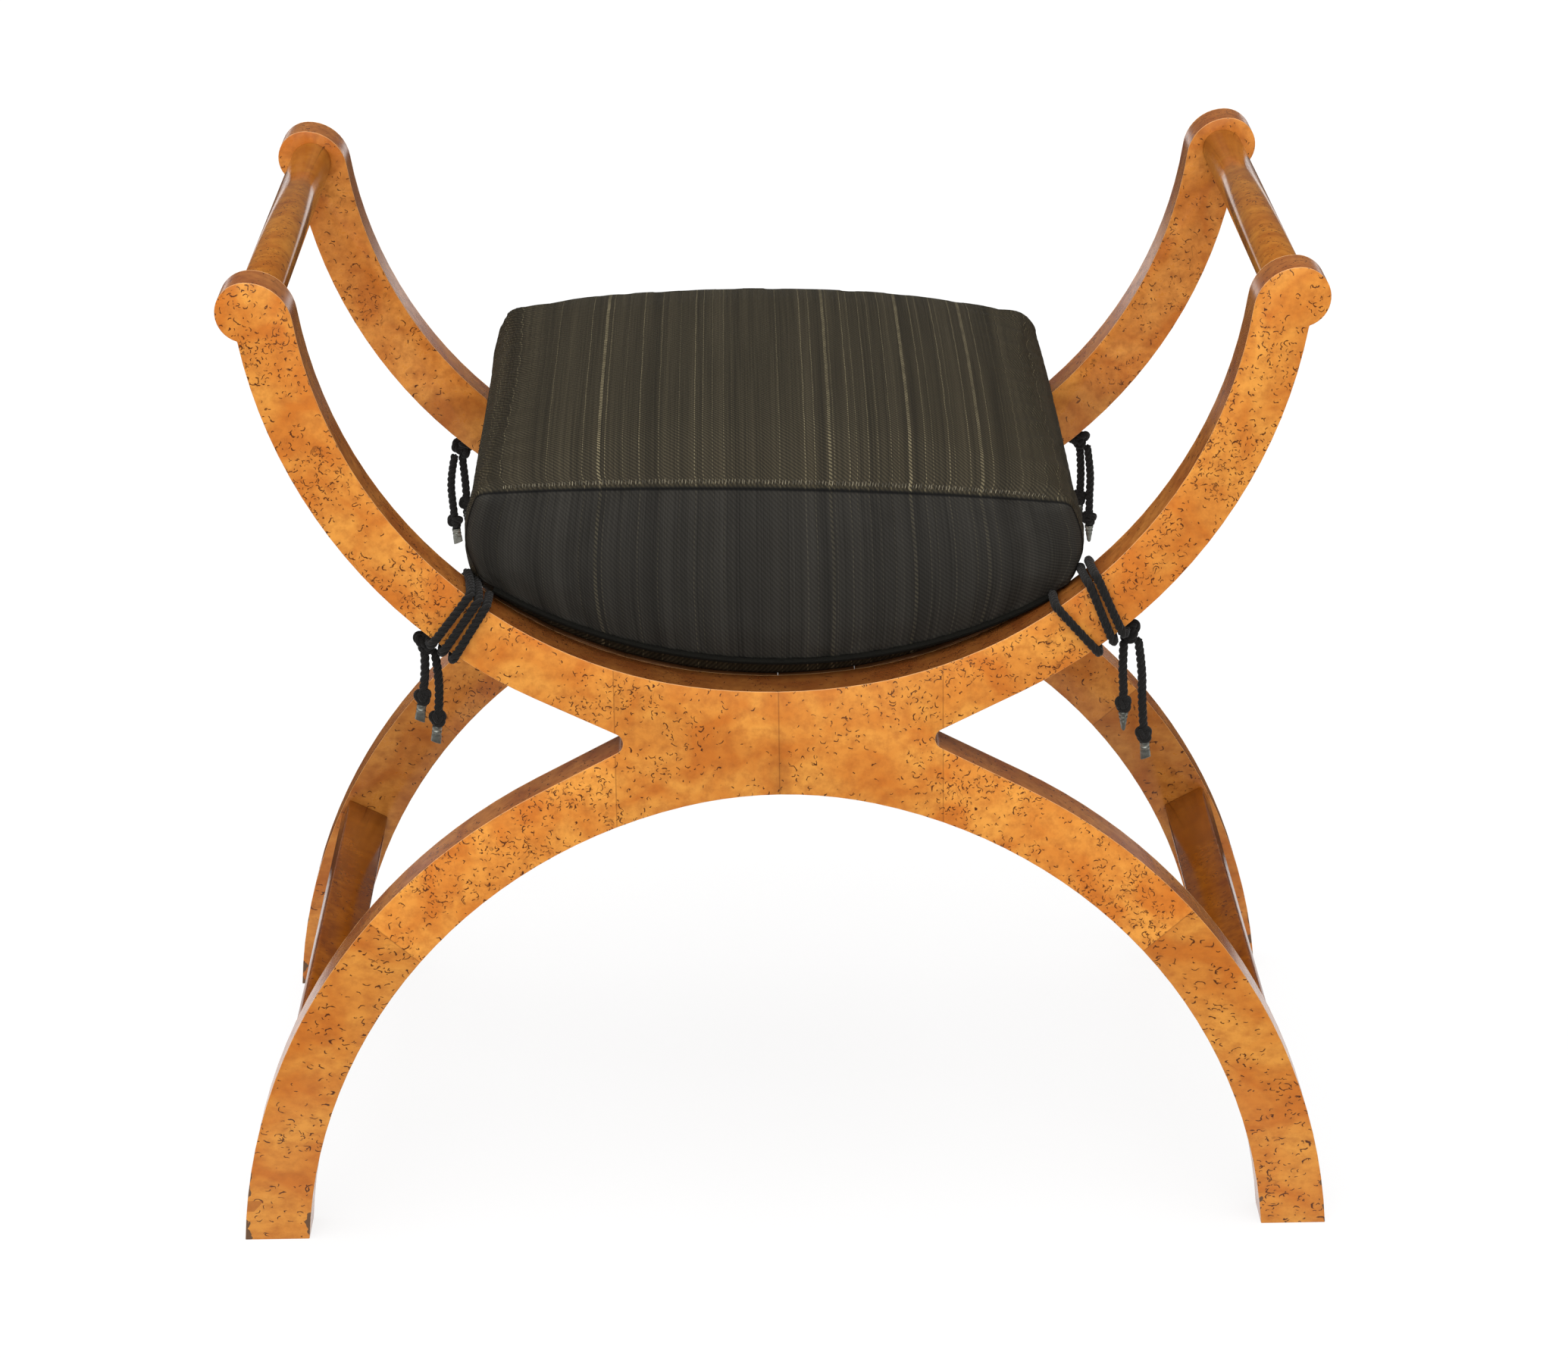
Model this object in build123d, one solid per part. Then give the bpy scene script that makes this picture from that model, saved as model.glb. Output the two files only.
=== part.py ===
"""A curule stool: two veneered X frames, handle rods, stretchers, a slatted seat and a tied cushion.

Millimetres. X runs across the stool, Y from the front to the back, Z up, and the origin is on the
floor at the middle of the feet. The right half of the front frame is drawn once and mirrored.
"""

import os
from math import acos, asin, atan2, cos, degrees, hypot, pi, radians, sin, sqrt, tan

from build123d import *

# Overall sizes
overall_height = 644.0
overall_depth = 474.0
frame_thickness = 34.0

# Upper U of a frame, a three-centred curve
seat_height = 374.0
seat_crown_radius = 360.0
seat_side_radius = 287.0
seat_join_angle = 9.2
arm_width = 36.0
ear_radius = 19.0
shoulder_radius = 29.0

# Lower arch of a frame, a three-centred curve too
arch_height = 305.0
arch_crown_radius = 263.0
arch_side_radius = 328.0
arch_join_angle = 13.3
leg_width = 42.0

# Waist, where the U stands on the arch, with a round notch at each side
notch_radius = 7.0
notch_standoff = 4.7
waist_leaf_half_width = 104.0
leg_leaf_angle = 41.0

# Veneer and banding
veneer = 1.2
banding = 1.2

# Waist dowels
dowel_radius = 4.0
dowel_length = 36.0
dowel_clearance = 0.1
dowel_end_gap = 0.5
upright_dowel_places = (35.0, 70.0)

# Handle rods
rod_radius = 14.0
rod_inward = 4.0
rod_drop = 3.0
tenon_radius = 9.0
tenon_length = 22.0
socket_gap = 0.5
fit_clearance = 0.1

# Stretchers, set square to the curve of the leg
stretcher_angle = 27.0
stretcher_width = 31.0
stretcher_thickness = 15.0
stretcher_setback = 2.0
stretcher_tenon_width = 21.0
stretcher_tenon_thickness = 8.0

# Seat slats and their bearers
slat_count = 8
slat_pitch_angle = 8.8
slat_joint = 0.13
slat_thickness = 9.0
slat_drop = 0.2
slat_end_gap = 0.5
housing_depth = 3.0
housing_side_gap = 1.3
bearer_height = 24.0
bearer_thickness = 16.0
bearer_overhang = 2.0
screw_angles = (-25.0, -8.0, 8.0, 25.0)
screw_radius = 2.0
screw_head_radius = 4.0
screw_length = 34.0
screw_clearance = 0.1

# Cushion
cushion_setback = 24.0
cushion_lift = 0.4
cushion_half_width = 187.0
cushion_flare = 4.0
cushion_bulge = 5.0
cushion_edge_height = 508.0
cushion_tilt = 4.5
cushion_end_fall = 8.5
cushion_lean = 5.2
cushion_lean_change = 0.8
cushion_crown = 29.0
cushion_end_crown = 11.0
cushion_end_crown_change = 4.5
cushion_end_draw_in = 6.0
cushion_end_lift = 10.0
cushion_corner_draw_in = 1.0
cushion_corner_lift = 1.5
cushion_corner_share = 0.9
welt_radius = 2.2
welt_gap = 0.3
welt_end_trim = 6.0

# Ties
cord_radius = 2.75
cord_gap = 1.05
wrap_corner = 3.2
wrap_start = 4.0
tie_angle = 49.0
knot_radius = 6.5
knot_step = -8.0
knot_forward = 2.5
knot_gap = 0.6
stop_knot_radius = 4.6
tip_radius = 3.2
tip_length = 11.0
cord_face_gap = 0.3
bend_share = 0.45

# Reach of the shapes that only cut
far = 2000.0

# Points worked out from the sizes above, as (x, z)
seat_crown_centre = (0.0, seat_height + seat_crown_radius)
arch_crown_centre = (0.0, arch_height - arch_crown_radius)


def polar(centre, radius, angle):
    """The point at an angle in degrees on a circle."""
    return (centre[0] + radius * cos(radians(angle)), centre[1] + radius * sin(radians(angle)))


def bearing(start, end):
    """The angle in degrees of the line from one point to another."""
    return degrees(atan2(end[1] - start[1], end[0] - start[0]))


seat_side_centre = polar(seat_crown_centre, seat_crown_radius - seat_side_radius, seat_join_angle - 90)
arch_side_centre = polar(arch_crown_centre, arch_crown_radius - arch_side_radius, 90 - arch_join_angle)
arm_outer_radius = seat_side_radius + arm_width
leg_outer_radius = arch_side_radius + leg_width

# The shoulder arc touches the U from inside the arm, and the ear arc caps it.
shoulder_rise = overall_height - shoulder_radius - seat_side_centre[1]
shoulder_reach = sqrt((seat_side_radius + shoulder_radius) ** 2 - shoulder_rise**2)
shoulder_centre = (seat_side_centre[0] + shoulder_reach, seat_side_centre[1] + shoulder_rise)
ear_centre = (shoulder_centre[0], overall_height - ear_radius)
rod_centre = (ear_centre[0] - rod_inward, ear_centre[1] - rod_drop)


def meet(first, first_radius, second, second_radius):
    """The point to the right of two centres that lies at a given distance from each."""
    span = hypot(second[0] - first[0], second[1] - first[1])
    along = (first_radius**2 - second_radius**2 + span**2) / (2 * span)
    return polar(first, first_radius, bearing(first, second) + degrees(acos(along / first_radius)))


# The notch stands off equally from the arm's outer edge and the leg's.
notch_reach = notch_radius + notch_standoff
arm_reach = arm_outer_radius + notch_reach
leg_reach = leg_outer_radius + notch_reach
notch_centre = meet(seat_side_centre, arm_reach, arch_side_centre, leg_reach)
waist_height = notch_centre[1]

front_face = -overall_depth / 2
inner_face = front_face + frame_thickness
core_front = front_face + veneer
core_back = inner_face - veneer
frame_middle = (front_face + inner_face) / 2


def tangent_angle(centre, radius, turn):
    """Where a line from the waist notch touches an arm or leg circle, as an angle on that circle."""
    distance = hypot(notch_centre[0] - centre[0], notch_centre[1] - centre[1])
    return bearing(centre, notch_centre) + turn * degrees(acos((radius + notch_radius) / distance))


arm_notch_angle = tangent_angle(seat_side_centre, arm_outer_radius, 1)
leg_notch_angle = tangent_angle(arch_side_centre, leg_outer_radius, -1)


def ear_notch(inset):
    """Where the ear's circle meets the outer edge of the arm."""
    return meet(ear_centre, ear_radius - inset, seat_side_centre, arm_outer_radius - inset)


def arc(centre, radius, start, end):
    """An arc between two angles in degrees."""
    return CenterArc(centre, radius, start, end - start)


def half_outline(inset=0.0):
    """The right half of a frame's face, with its edges drawn in by the inset, in the X and Z plane."""
    arm_radius = arm_outer_radius - inset
    leg_radius = leg_outer_radius - inset
    arch_radius = arch_side_radius + inset
    notch = notch_radius + inset
    shoulder_start = bearing(seat_side_centre, shoulder_centre)
    corner = ear_notch(inset)
    foot_outer = degrees(asin(-arch_side_centre[1] / leg_radius))
    foot_inner = degrees(asin(-arch_side_centre[1] / arch_radius))
    arm_end = polar(seat_side_centre, arm_radius, arm_notch_angle)
    notch_top = polar(notch_centre, -notch, arm_notch_angle)
    notch_foot = polar(notch_centre, -notch, leg_notch_angle)
    leg_start = polar(arch_side_centre, leg_radius, leg_notch_angle)
    heel = polar(arch_side_centre, leg_radius, foot_outer)
    toe = polar(arch_side_centre, arch_radius, foot_inner)
    edges = [
        arc(seat_crown_centre, seat_crown_radius + inset, -90, seat_join_angle - 90),
        arc(seat_side_centre, seat_side_radius + inset, seat_join_angle - 90, shoulder_start),
        arc(shoulder_centre, shoulder_radius - inset, shoulder_start + 180, 90),
        arc(ear_centre, ear_radius - inset, 90, bearing(ear_centre, corner)),
        arc(seat_side_centre, arm_radius, bearing(seat_side_centre, corner), arm_notch_angle),
        Line(arm_end, notch_top),
        arc(notch_centre, notch, arm_notch_angle + 180, leg_notch_angle + 180),
        Line(notch_foot, leg_start),
        arc(arch_side_centre, leg_radius, leg_notch_angle, foot_outer),
        Line(heel, toe),
        arc(arch_side_centre, arch_radius, foot_inner, 90 - arch_join_angle),
        arc(arch_crown_centre, arch_crown_radius + inset, 90 - arch_join_angle, 90),
        Line((0, arch_height + inset), (0, seat_height - inset)),
    ]
    return make_face(edges)


def block(x_min, x_max, z_min, z_max):
    """A rectangle in the X and Z plane, for cutting faces."""
    return Pos((x_min + x_max) / 2, (z_min + z_max) / 2) * Rectangle(x_max - x_min, z_max - z_min)


def slab(face, y_front, y_back):
    """A face of the X and Z plane, made solid between two depths."""
    plane = Plane(origin=(0, y_back, 0), x_dir=(1, 0, 0), z_dir=(0, -1, 0))
    return extrude(plane * face, amount=y_back - y_front)


def pin(start, end, radius):
    """A round bar between two points."""
    start = Vector(start)
    run = Vector(end) - start
    return extrude(Plane(origin=start, z_dir=run) * Circle(radius), amount=run.length)


def left(shape):
    """The same piece on the left."""
    return mirror(shape, about=Plane.YZ)


def behind(shape):
    """The same piece on the back frame."""
    return mirror(shape, about=Plane.XZ)


def place(shape, side, end):
    """A piece of the right front quarter, moved to its own quarter."""
    shape = left(shape) if side == "left" else shape
    return behind(shape) if end == "back" else shape


def group(pieces):
    """Separate solids that share one node."""
    solids = [solid for piece in pieces for solid in piece.solids()]
    return Compound(children=solids)


nodes = {}
quarters = [(end, side) for end in ("front", "back") for side in ("left", "right")]

# Regions of the half frame above and below the waist joint
above_waist = block(0, far, waist_height, far)
below_waist = block(0, far, 0, waist_height)


def upright_dowel(x, radius, length):
    """A dowel between the arm and the leg."""
    low = (x, frame_middle, waist_height - length / 2)
    return pin(low, (x, frame_middle, waist_height + length / 2), radius)


def cross_dowel(z, radius, length):
    """A dowel across the middle joint of the frame."""
    return pin((-length / 2, frame_middle, z), (length / 2, frame_middle, z), radius)


cross_dowel_heights = ((waist_height + seat_height) / 2, (waist_height + arch_height) / 2)


def waist_dowels(radius, length):
    """All six dowels of one frame, or their holes."""
    upright = [upright_dowel(s * x, radius, length) for x in upright_dowel_places for s in (-1, 1)]
    return upright + [cross_dowel(z, radius, length) for z in cross_dowel_heights]


# Handle rods: a plain bar between the frames with a blind tenon at each end
rod_start = (rod_centre[0], inner_face, rod_centre[1])
rod_end = (rod_centre[0], -inner_face, rod_centre[1])


def rod_tenon(radius, length):
    """The front tenon of the right rod, or its socket."""
    return pin((rod_start[0], inner_face - length, rod_start[2]), rod_start, radius)


front_tenon = rod_tenon(tenon_radius, tenon_length)
right_handle = pin(rod_start, rod_end, rod_radius) + front_tenon + behind(front_tenon)
nodes["right_handle"] = right_handle
nodes["left_handle"] = left(right_handle)

# Stretchers: a board between the front and back legs, its broad faces square to the leg's curve
stretcher_middle = leg_outer_radius - stretcher_setback - stretcher_width / 2
stretcher_place = polar(arch_side_centre, stretcher_middle, stretcher_angle)


def stretcher_section(width, thickness):
    """A section of the board, hung below the line that runs out from the arch's centre."""
    hung = Pos(0, -stretcher_thickness / 2) * Rectangle(width, thickness)
    return Pos(*stretcher_place) * Rot(0, 0, stretcher_angle) * hung


def stretcher_tenon(gap, length):
    """The front tenon of the right stretcher, or its mortise."""
    section = stretcher_section(stretcher_tenon_width + 2 * gap, stretcher_tenon_thickness + 2 * gap)
    return slab(section, inner_face - length, inner_face)


board = slab(stretcher_section(stretcher_width, stretcher_thickness), inner_face, -inner_face)
front_board_tenon = stretcher_tenon(0, tenon_length)
right_stretcher = board + front_board_tenon + behind(front_board_tenon)
nodes["right_stretcher"] = right_stretcher
nodes["left_stretcher"] = left(right_stretcher)

# Seat arc that the slats and the underside of the cushion follow
edge_reach = cushion_half_width - seat_side_centre[0]
seat_rise = seat_side_centre[1] - sqrt(seat_side_radius**2 - edge_reach**2) - seat_height
seat_arc_radius = (cushion_half_width**2 + seat_rise**2) / (2 * seat_rise)
seat_arc_centre = (0.0, seat_height + seat_arc_radius)
slat_top = seat_arc_radius + slat_drop
slat_bottom = slat_top + slat_thickness
bearer_top = slat_bottom - housing_depth
bearer_bottom = bearer_top + bearer_height
# The slats lie edge to edge, so the pitch leaves each of them its width less the joint.
slat_width = 2 * slat_top * tan(radians(slat_pitch_angle / 2)) - slat_joint
slat_angles = [slat_pitch_angle * (i - (slat_count - 1) / 2) for i in range(slat_count)]


def slat_section(angle, side_gap):
    """A slat's end view, or its housing, at an angle from the bottom of the seat arc."""
    x, z = polar(seat_arc_centre, (slat_top + slat_bottom) / 2, angle - 90)
    return Pos(x, z) * Rot(0, 0, angle) * Rectangle(slat_width + 2 * side_gap, slat_thickness)


def bearer_screw(angle, gap):
    """A countersunk screw from a bearer into the frame behind it, or its hole."""
    x, z = polar(seat_arc_centre, (bearer_top + bearer_bottom) / 2 + housing_depth / 2, angle - 90)
    head = inner_face + bearer_thickness
    taper = screw_head_radius - screw_radius
    shank = pin((x, head - screw_length - gap, z), (x, head, z), screw_radius + gap)
    cone = Cone(screw_radius + gap, screw_head_radius + gap, taper)
    seat = Plane(origin=(x, head - taper, z), z_dir=(0, 1, 0)) * Pos(0, 0, taper / 2) * cone
    return shank + seat


def bearer():
    """The front bearer: a curved rail with a flat housing for each slat."""
    half_angle = slat_angles[-1] + bearer_overhang
    start = -90 - half_angle
    stop = half_angle - 90
    edges = [
        arc(seat_arc_centre, bearer_top, start, stop),
        Line(polar(seat_arc_centre, bearer_top, stop), polar(seat_arc_centre, bearer_bottom, stop)),
        arc(seat_arc_centre, bearer_bottom, stop, start),
        Line(polar(seat_arc_centre, bearer_bottom, start), polar(seat_arc_centre, bearer_top, start)),
    ]
    face = make_face(edges)
    for angle in slat_angles:
        face -= slat_section(angle, housing_side_gap)
    rail = slab(face, inner_face, inner_face + bearer_thickness)
    for angle in screw_angles:
        rail -= bearer_screw(angle, screw_clearance)
    return rail


front_bearer = bearer()
front_screws = [bearer_screw(angle, 0.0) for angle in screw_angles]
nodes["front_seat_bearer"] = front_bearer
nodes["back_seat_bearer"] = behind(front_bearer)
nodes["bearer_screws"] = group(front_screws + [behind(screw) for screw in front_screws])
for number, angle in enumerate(slat_angles, 1):
    slat = slab(slat_section(angle, 0.0), inner_face + slat_end_gap, -inner_face - slat_end_gap)
    nodes[f"seat_slat_{number}"] = slat

# Cuts in the limbs and in the inner veneer of the right front quarter
waist_holes = waist_dowels(dowel_radius + dowel_clearance, dowel_length + 2 * dowel_end_gap)
rod_socket = rod_tenon(tenon_radius + fit_clearance, tenon_length + socket_gap)
mortise = stretcher_tenon(fit_clearance, tenon_length + socket_gap)
screw_holes = [bearer_screw(angle, screw_clearance) for angle in screw_angles]

# Limbs: four to a frame, halved at the waist and doweled
core = half_outline(banding)
arm = slab(core & above_waist, core_front, core_back)
leg = slab(core & below_waist, core_front, core_back)
for cut in waist_holes + [rod_socket] + screw_holes:
    arm -= cut
for cut in waist_holes + [mortise] + screw_holes:
    leg -= cut
for end, side in quarters:
    nodes[f"{end}_{side}_arm"] = place(arm, side, end)
    nodes[f"{end}_{side}_leg"] = place(leg, side, end)

frame_dowels = waist_dowels(dowel_radius, dowel_length)
nodes["front_waist_dowels"] = group(frame_dowels)
nodes["back_waist_dowels"] = group([behind(dowel) for dowel in frame_dowels])

# Veneer leaves: a waist leaf, an arm leaf and two leg leaves to each half of a face
full = half_outline()
beyond_leaf = block(waist_leaf_half_width, far, 0, far)
low_wedge = make_face(Polyline(
    arch_side_centre,
    polar(arch_side_centre, far, leg_leaf_angle),
    polar(arch_side_centre, far, -leg_leaf_angle),
    close=True,
))
leg_face = full & below_waist & beyond_leaf
leaf_faces = [
    full & block(0, waist_leaf_half_width, 0, far),
    full & above_waist & beyond_leaf,
    leg_face - low_wedge,
    leg_face & low_wedge,
]
outer_leaves = [slab(face, front_face, core_front) for face in leaf_faces]
inner_leaves = [slab(face, core_back, inner_face) for face in leaf_faces]
for cut in [rod_socket, mortise] + screw_holes:
    inner_leaves = [leaf - cut for leaf in inner_leaves]
for name, leaves in (("outer", outer_leaves), ("inner", inner_leaves)):
    both = leaves + [left(leaf) for leaf in leaves]
    nodes[f"front_{name}_veneer"] = group(both)
    nodes[f"back_{name}_veneer"] = group([behind(leaf) for leaf in both])

# Edge bandings: one strip over the seat and ear, one on the arm, one on the leg and one in the arch
edge_ring = full - core
lower_ring = edge_ring & below_waist
inside_leg = Pos(*arch_side_centre) * Circle((arch_side_radius + leg_outer_radius) / 2)
leg_band = lower_ring - inside_leg
arch_band = lower_ring & inside_leg
upper_ring = edge_ring & above_waist
inside_arm = Pos(*seat_side_centre) * Circle((seat_side_radius + arm_outer_radius) / 2)
outside_arm = block(0, far, waist_height, ear_notch(0)[1]) - inside_arm
arm_band = upper_ring & outside_arm
seat_band = upper_ring - outside_arm
strips = [slab(face, core_front, core_back) for face in (seat_band, arm_band, leg_band, arch_band)]
strips += [left(strip) for strip in strips]
nodes["front_edge_banding"] = group(strips)
nodes["back_edge_banding"] = group([behind(strip) for strip in strips])

# Cushion: a crowned box with drawn-in ends and bulging sides, its underside on the seat arc
cushion_front = front_face + cushion_setback
cushion_floor = seat_arc_radius - cushion_lift


def cushion_section(share, draw_in, lift):
    """One section of the cushion across the stool, at a share of its half depth: four arcs.

    The top is higher at the back and on the left, where the stuffing is fuller.
    """
    end = abs(share)
    low = cushion_half_width - draw_in
    high = low + cushion_flare
    floor_radius = cushion_floor - lift
    low_z = seat_arc_centre[1] - sqrt(floor_radius**2 - low**2)
    middle_z = cushion_edge_height + cushion_tilt * share - cushion_end_fall * end**4
    lean = (cushion_lean - cushion_lean_change * share) * (0.4 + 0.6 * end)
    end_crown = cushion_end_crown + cushion_end_crown_change * share
    crown = end_crown + (cushion_crown - end_crown) * (1 - end**3.6) ** 0.9
    left_z = middle_z + lean
    right_z = middle_z - lean
    side_x = (low + high) / 2 + cushion_bulge
    edges = [
        ThreePointArc((-low, low_z), (0, seat_arc_centre[1] - floor_radius), (low, low_z)),
        ThreePointArc((low, low_z), (side_x, (low_z + right_z) / 2), (high, right_z)),
        ThreePointArc((high, right_z), (0, middle_z + crown), (-high, left_z)),
        ThreePointArc((-high, left_z), (-side_x, (low_z + left_z) / 2), (-low, low_z)),
    ]
    plane = Plane(origin=(0, -share * cushion_front, 0), x_dir=(1, 0, 0), z_dir=(0, -1, 0))
    return plane * make_face(edges)


end_section = (cushion_end_draw_in, cushion_end_lift)
corner_section = (cushion_corner_draw_in, cushion_corner_lift)
cushion_stations = [
    (-1.0, *end_section),
    (-cushion_corner_share, *corner_section),
    (-0.5, 0.0, 0.0),
    (0.0, 0.0, 0.0),
    (0.5, 0.0, 0.0),
    (cushion_corner_share, *corner_section),
    (1.0, *end_section),
]
stuffed = loft([cushion_section(*station) for station in cushion_stations])
# The underside is pressed flat against the seat arc.
seat_axis = (seat_arc_centre[0], front_face, seat_arc_centre[1])
pressed = pin(seat_axis, (seat_axis[0], -front_face, seat_axis[2]), cushion_floor)
nodes["seat_cushion"] = stuffed & pressed

# Welts along the lower seams of the front and back panels
welt_arc_radius = cushion_floor - cushion_end_lift - welt_radius
welt_half_angle = degrees(asin((cushion_half_width - cushion_end_draw_in - welt_end_trim) / welt_arc_radius))
welt_y = cushion_front - welt_radius - welt_gap
welt_plane = Plane(origin=(0, welt_y, 0), x_dir=(1, 0, 0), z_dir=(0, -1, 0))
welt_path = welt_plane * arc(seat_arc_centre, welt_arc_radius, -90 - welt_half_angle, welt_half_angle - 90)
front_welt = sweep(Plane(origin=welt_path @ 0, z_dir=welt_path % 0) * Circle(welt_radius), welt_path)
nodes["cushion_welts"] = group([front_welt, behind(front_welt)])

# Ties: a cord from the cushion's corner goes round the arm to a knot, from which two tails hang
arm_middle_radius = seat_side_radius + arm_width / 2
wrap_out = arm_width / 2 + cord_radius + cord_gap
wrap_deep = frame_thickness / 2 + cord_radius + cord_gap
knot_out = wrap_out + knot_radius - cord_radius


def tie_point(radial, depth, step):
    """A point near the tie: out from the arm's middle line, towards the back, and up along the arm."""
    angle = degrees(step / arm_middle_radius) - tie_angle
    x, z = polar(seat_side_centre, arm_middle_radius + radial, angle)
    return Vector(x, frame_middle + depth, z)


# Passes of each wrap over the arm's outer face, from the cushion to the knot: the cord's place along
# the arm where it comes up behind the arm, at the inner edge and at the outer edge
wrap_passes = {
    "front_left": [(-22.0, -22.0, -25.0), (-10.5, -15.5, -17.5), (-3.5, -8.5, -9.5)],
    "front_right": [(-32.0, -32.0, -28.0), (-8.0, -5.0, -17.0), (-0.5, 2.0, -9.5)],
    "back_left": [(-24.0, -24.0, -22.0), (-7.0, -6.0, -9.5)],
    "back_right": [(-28.0, -28.0, -24.0), (-5.0, -3.0, -9.5)],
}


def wrap_route(passes):
    """A cord wound round the arm, with two points at each corner of the arm."""
    side = wrap_out - wrap_corner
    deep = wrap_deep - wrap_corner
    points = [tie_point(-wrap_out, wrap_start, passes[0][0])]
    for number, (behind_arm, inner, outer) in enumerate(passes):
        if number:
            last = passes[number - 1][2]
            points += [tie_point(wrap_out, deep, last), tie_point(side, wrap_deep, last)]
            points += [tie_point(-side, wrap_deep, behind_arm), tie_point(-wrap_out, deep, behind_arm)]
        points += [tie_point(-wrap_out, -deep, inner), tie_point(-side, -wrap_deep, inner)]
        points += [tie_point(side, -wrap_deep, outer), tie_point(wrap_out, -deep, outer)]
    return points + [tie_point(wrap_out, -knot_forward - knot_radius - knot_gap, knot_step)]


def tube(path, radius):
    """A round cord along a path."""
    return sweep(Plane(origin=path @ 0, z_dir=path % 0) * Circle(radius), path)


def corner_radii(points):
    """The largest arc that each corner of a route has room for."""
    radii = []
    for before, here, after in zip(points, points[1:], points[2:]):
        turn = (here - before).get_angle(after - here)
        shorter = min((here - before).length, (after - here).length)
        radii.append(bend_share * shorter / tan(radians(turn / 2)))
    return radii


def least_self_gap(path, radius, steps=500):
    """The least gap between two stretches of a wound cord that lie over three diameters apart along it."""
    points = [path @ (i / steps) for i in range(steps + 1)]
    skip = int(steps * 6 * radius / path.length) + 1
    pairs = [(i, j) for i in range(steps + 1) for j in range(i + skip, steps + 1)]
    return min((points[i] - points[j]).length for i, j in pairs) - 2 * radius


def wrap(passes):
    """The cord of one tie, from the cushion to the knot, as on the right front arm."""
    points = wrap_route(passes)
    radii = corner_radii(points)
    path = FilletPolyline(*points, radius=radii)
    cord = tube(path, cord_radius)
    fill = cord.volume / (pi * cord_radius**2 * path.length)
    print("wrap length", round(path.length, 1), "least radius", round(min(radii), 1))
    print("least gap to itself", round(least_self_gap(path, cord_radius), 2), "volume share", round(fill, 4))
    return cord


knot_place = tie_point(knot_out, -knot_forward, knot_step)
knot = Pos(knot_place) * Sphere(knot_radius)

# Routes of the tails, as steps from the knot: across the stool, to the back, and up
tail_routes = {
    "front_left": [
        [(1, -2, -7), (1, -3, -16), (2, -3, -28), (4, -3, -41)],
        [(-5, 0, -6.3), (-7, 1, -22), (-7, 1, -40), (-5, 1, -57)],
    ],
    "front_right": [
        [(-3, -2, -7), (-4, -3, -22), (-3, -3, -38), (-3, -3, -53)],
        [(6, 0, -5.9), (9, 1, -24), (9, 1, -50), (11, 1, -75)],
    ],
    "back_left": [
        [(1, 2, -7), (0, 3, -20), (-1, 3, -34), (-1, 3, -48)],
        [(6.2, 0, -5.6), (10, -1, -22), (9, -1, -42), (7, -1, -60)],
    ],
    "back_right": [
        [(1, 2, -7), (2, 3, -20), (2, 3, -35), (1, 3, -50)],
        [(6.2, 0, -5.6), (9, -1, -24), (8, -1, -44), (8, -1, -65)],
    ],
}


def tail(points):
    """A hanging tail with a stopper knot near its end, and the metal tip crimped on below the knot."""
    radii = corner_radii(points)
    path = FilletPolyline(*points, radius=radii)
    print("tail length", round(path.length, 1), "radii", [round(radius, 1) for radius in radii])
    end = points[-1]
    down = (points[-1] - points[-2]).normalized()
    stop_knot = Pos(end - down * (stop_knot_radius + cord_face_gap)) * Sphere(stop_knot_radius)
    tip_start = end + down * cord_face_gap
    return tube(path, cord_radius) + stop_knot, pin(tip_start, tip_start + down * tip_length, tip_radius)


for end, side in quarters:
    corner = f"{end}_{side}"
    hand = -1 if side == "left" else 1
    deep = -1 if end == "back" else 1
    middle = Vector(hand * knot_place.X, deep * knot_place.Y, knot_place.Z)
    routes = [[middle + Vector(hand * x, y, z) for x, y, z in route] for route in tail_routes[corner]]
    tails = [tail(route) for route in routes]
    nodes[f"{corner}_tie_wrap"] = place(wrap(wrap_passes[corner]), side, end)
    nodes[f"{corner}_tie_knot"] = place(knot, side, end)
    nodes[f"{corner}_tie_tails"] = group([cord for cord, tip in tails])
    nodes[f"{corner}_tie_tips"] = group([tip for cord, tip in tails])

os.makedirs("parts", exist_ok=True)
for name, shape in nodes.items():
    export_step(shape, f"parts/{name}.step")
print("nodes", len(nodes))
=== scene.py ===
"""A curule stool in burr birch with a tied pinstripe cushion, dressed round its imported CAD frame.

Metres. X runs across the stool, Y from the front to the back, Z up from the floor.
"""

import math

import bmesh
import bpy
from mathutils import Matrix, Vector, noise


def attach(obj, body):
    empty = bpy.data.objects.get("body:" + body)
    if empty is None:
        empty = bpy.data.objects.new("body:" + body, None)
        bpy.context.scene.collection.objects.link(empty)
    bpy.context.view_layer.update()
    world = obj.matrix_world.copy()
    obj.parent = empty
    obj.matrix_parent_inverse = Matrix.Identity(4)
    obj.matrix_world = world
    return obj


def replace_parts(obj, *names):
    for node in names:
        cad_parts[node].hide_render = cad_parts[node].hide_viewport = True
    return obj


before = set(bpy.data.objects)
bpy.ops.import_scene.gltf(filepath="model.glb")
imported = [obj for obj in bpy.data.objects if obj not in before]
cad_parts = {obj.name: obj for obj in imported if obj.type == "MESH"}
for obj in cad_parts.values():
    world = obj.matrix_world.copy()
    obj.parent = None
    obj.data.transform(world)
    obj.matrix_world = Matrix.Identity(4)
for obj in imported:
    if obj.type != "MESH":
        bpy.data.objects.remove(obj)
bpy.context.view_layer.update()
scene = bpy.context.scene

# Limbs of the two X frames. Each is sawn from birch board and hidden under veneer and banding, so
# only a plain sawn birch shows where a joint opens. The waist dowels are turned beech.


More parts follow.
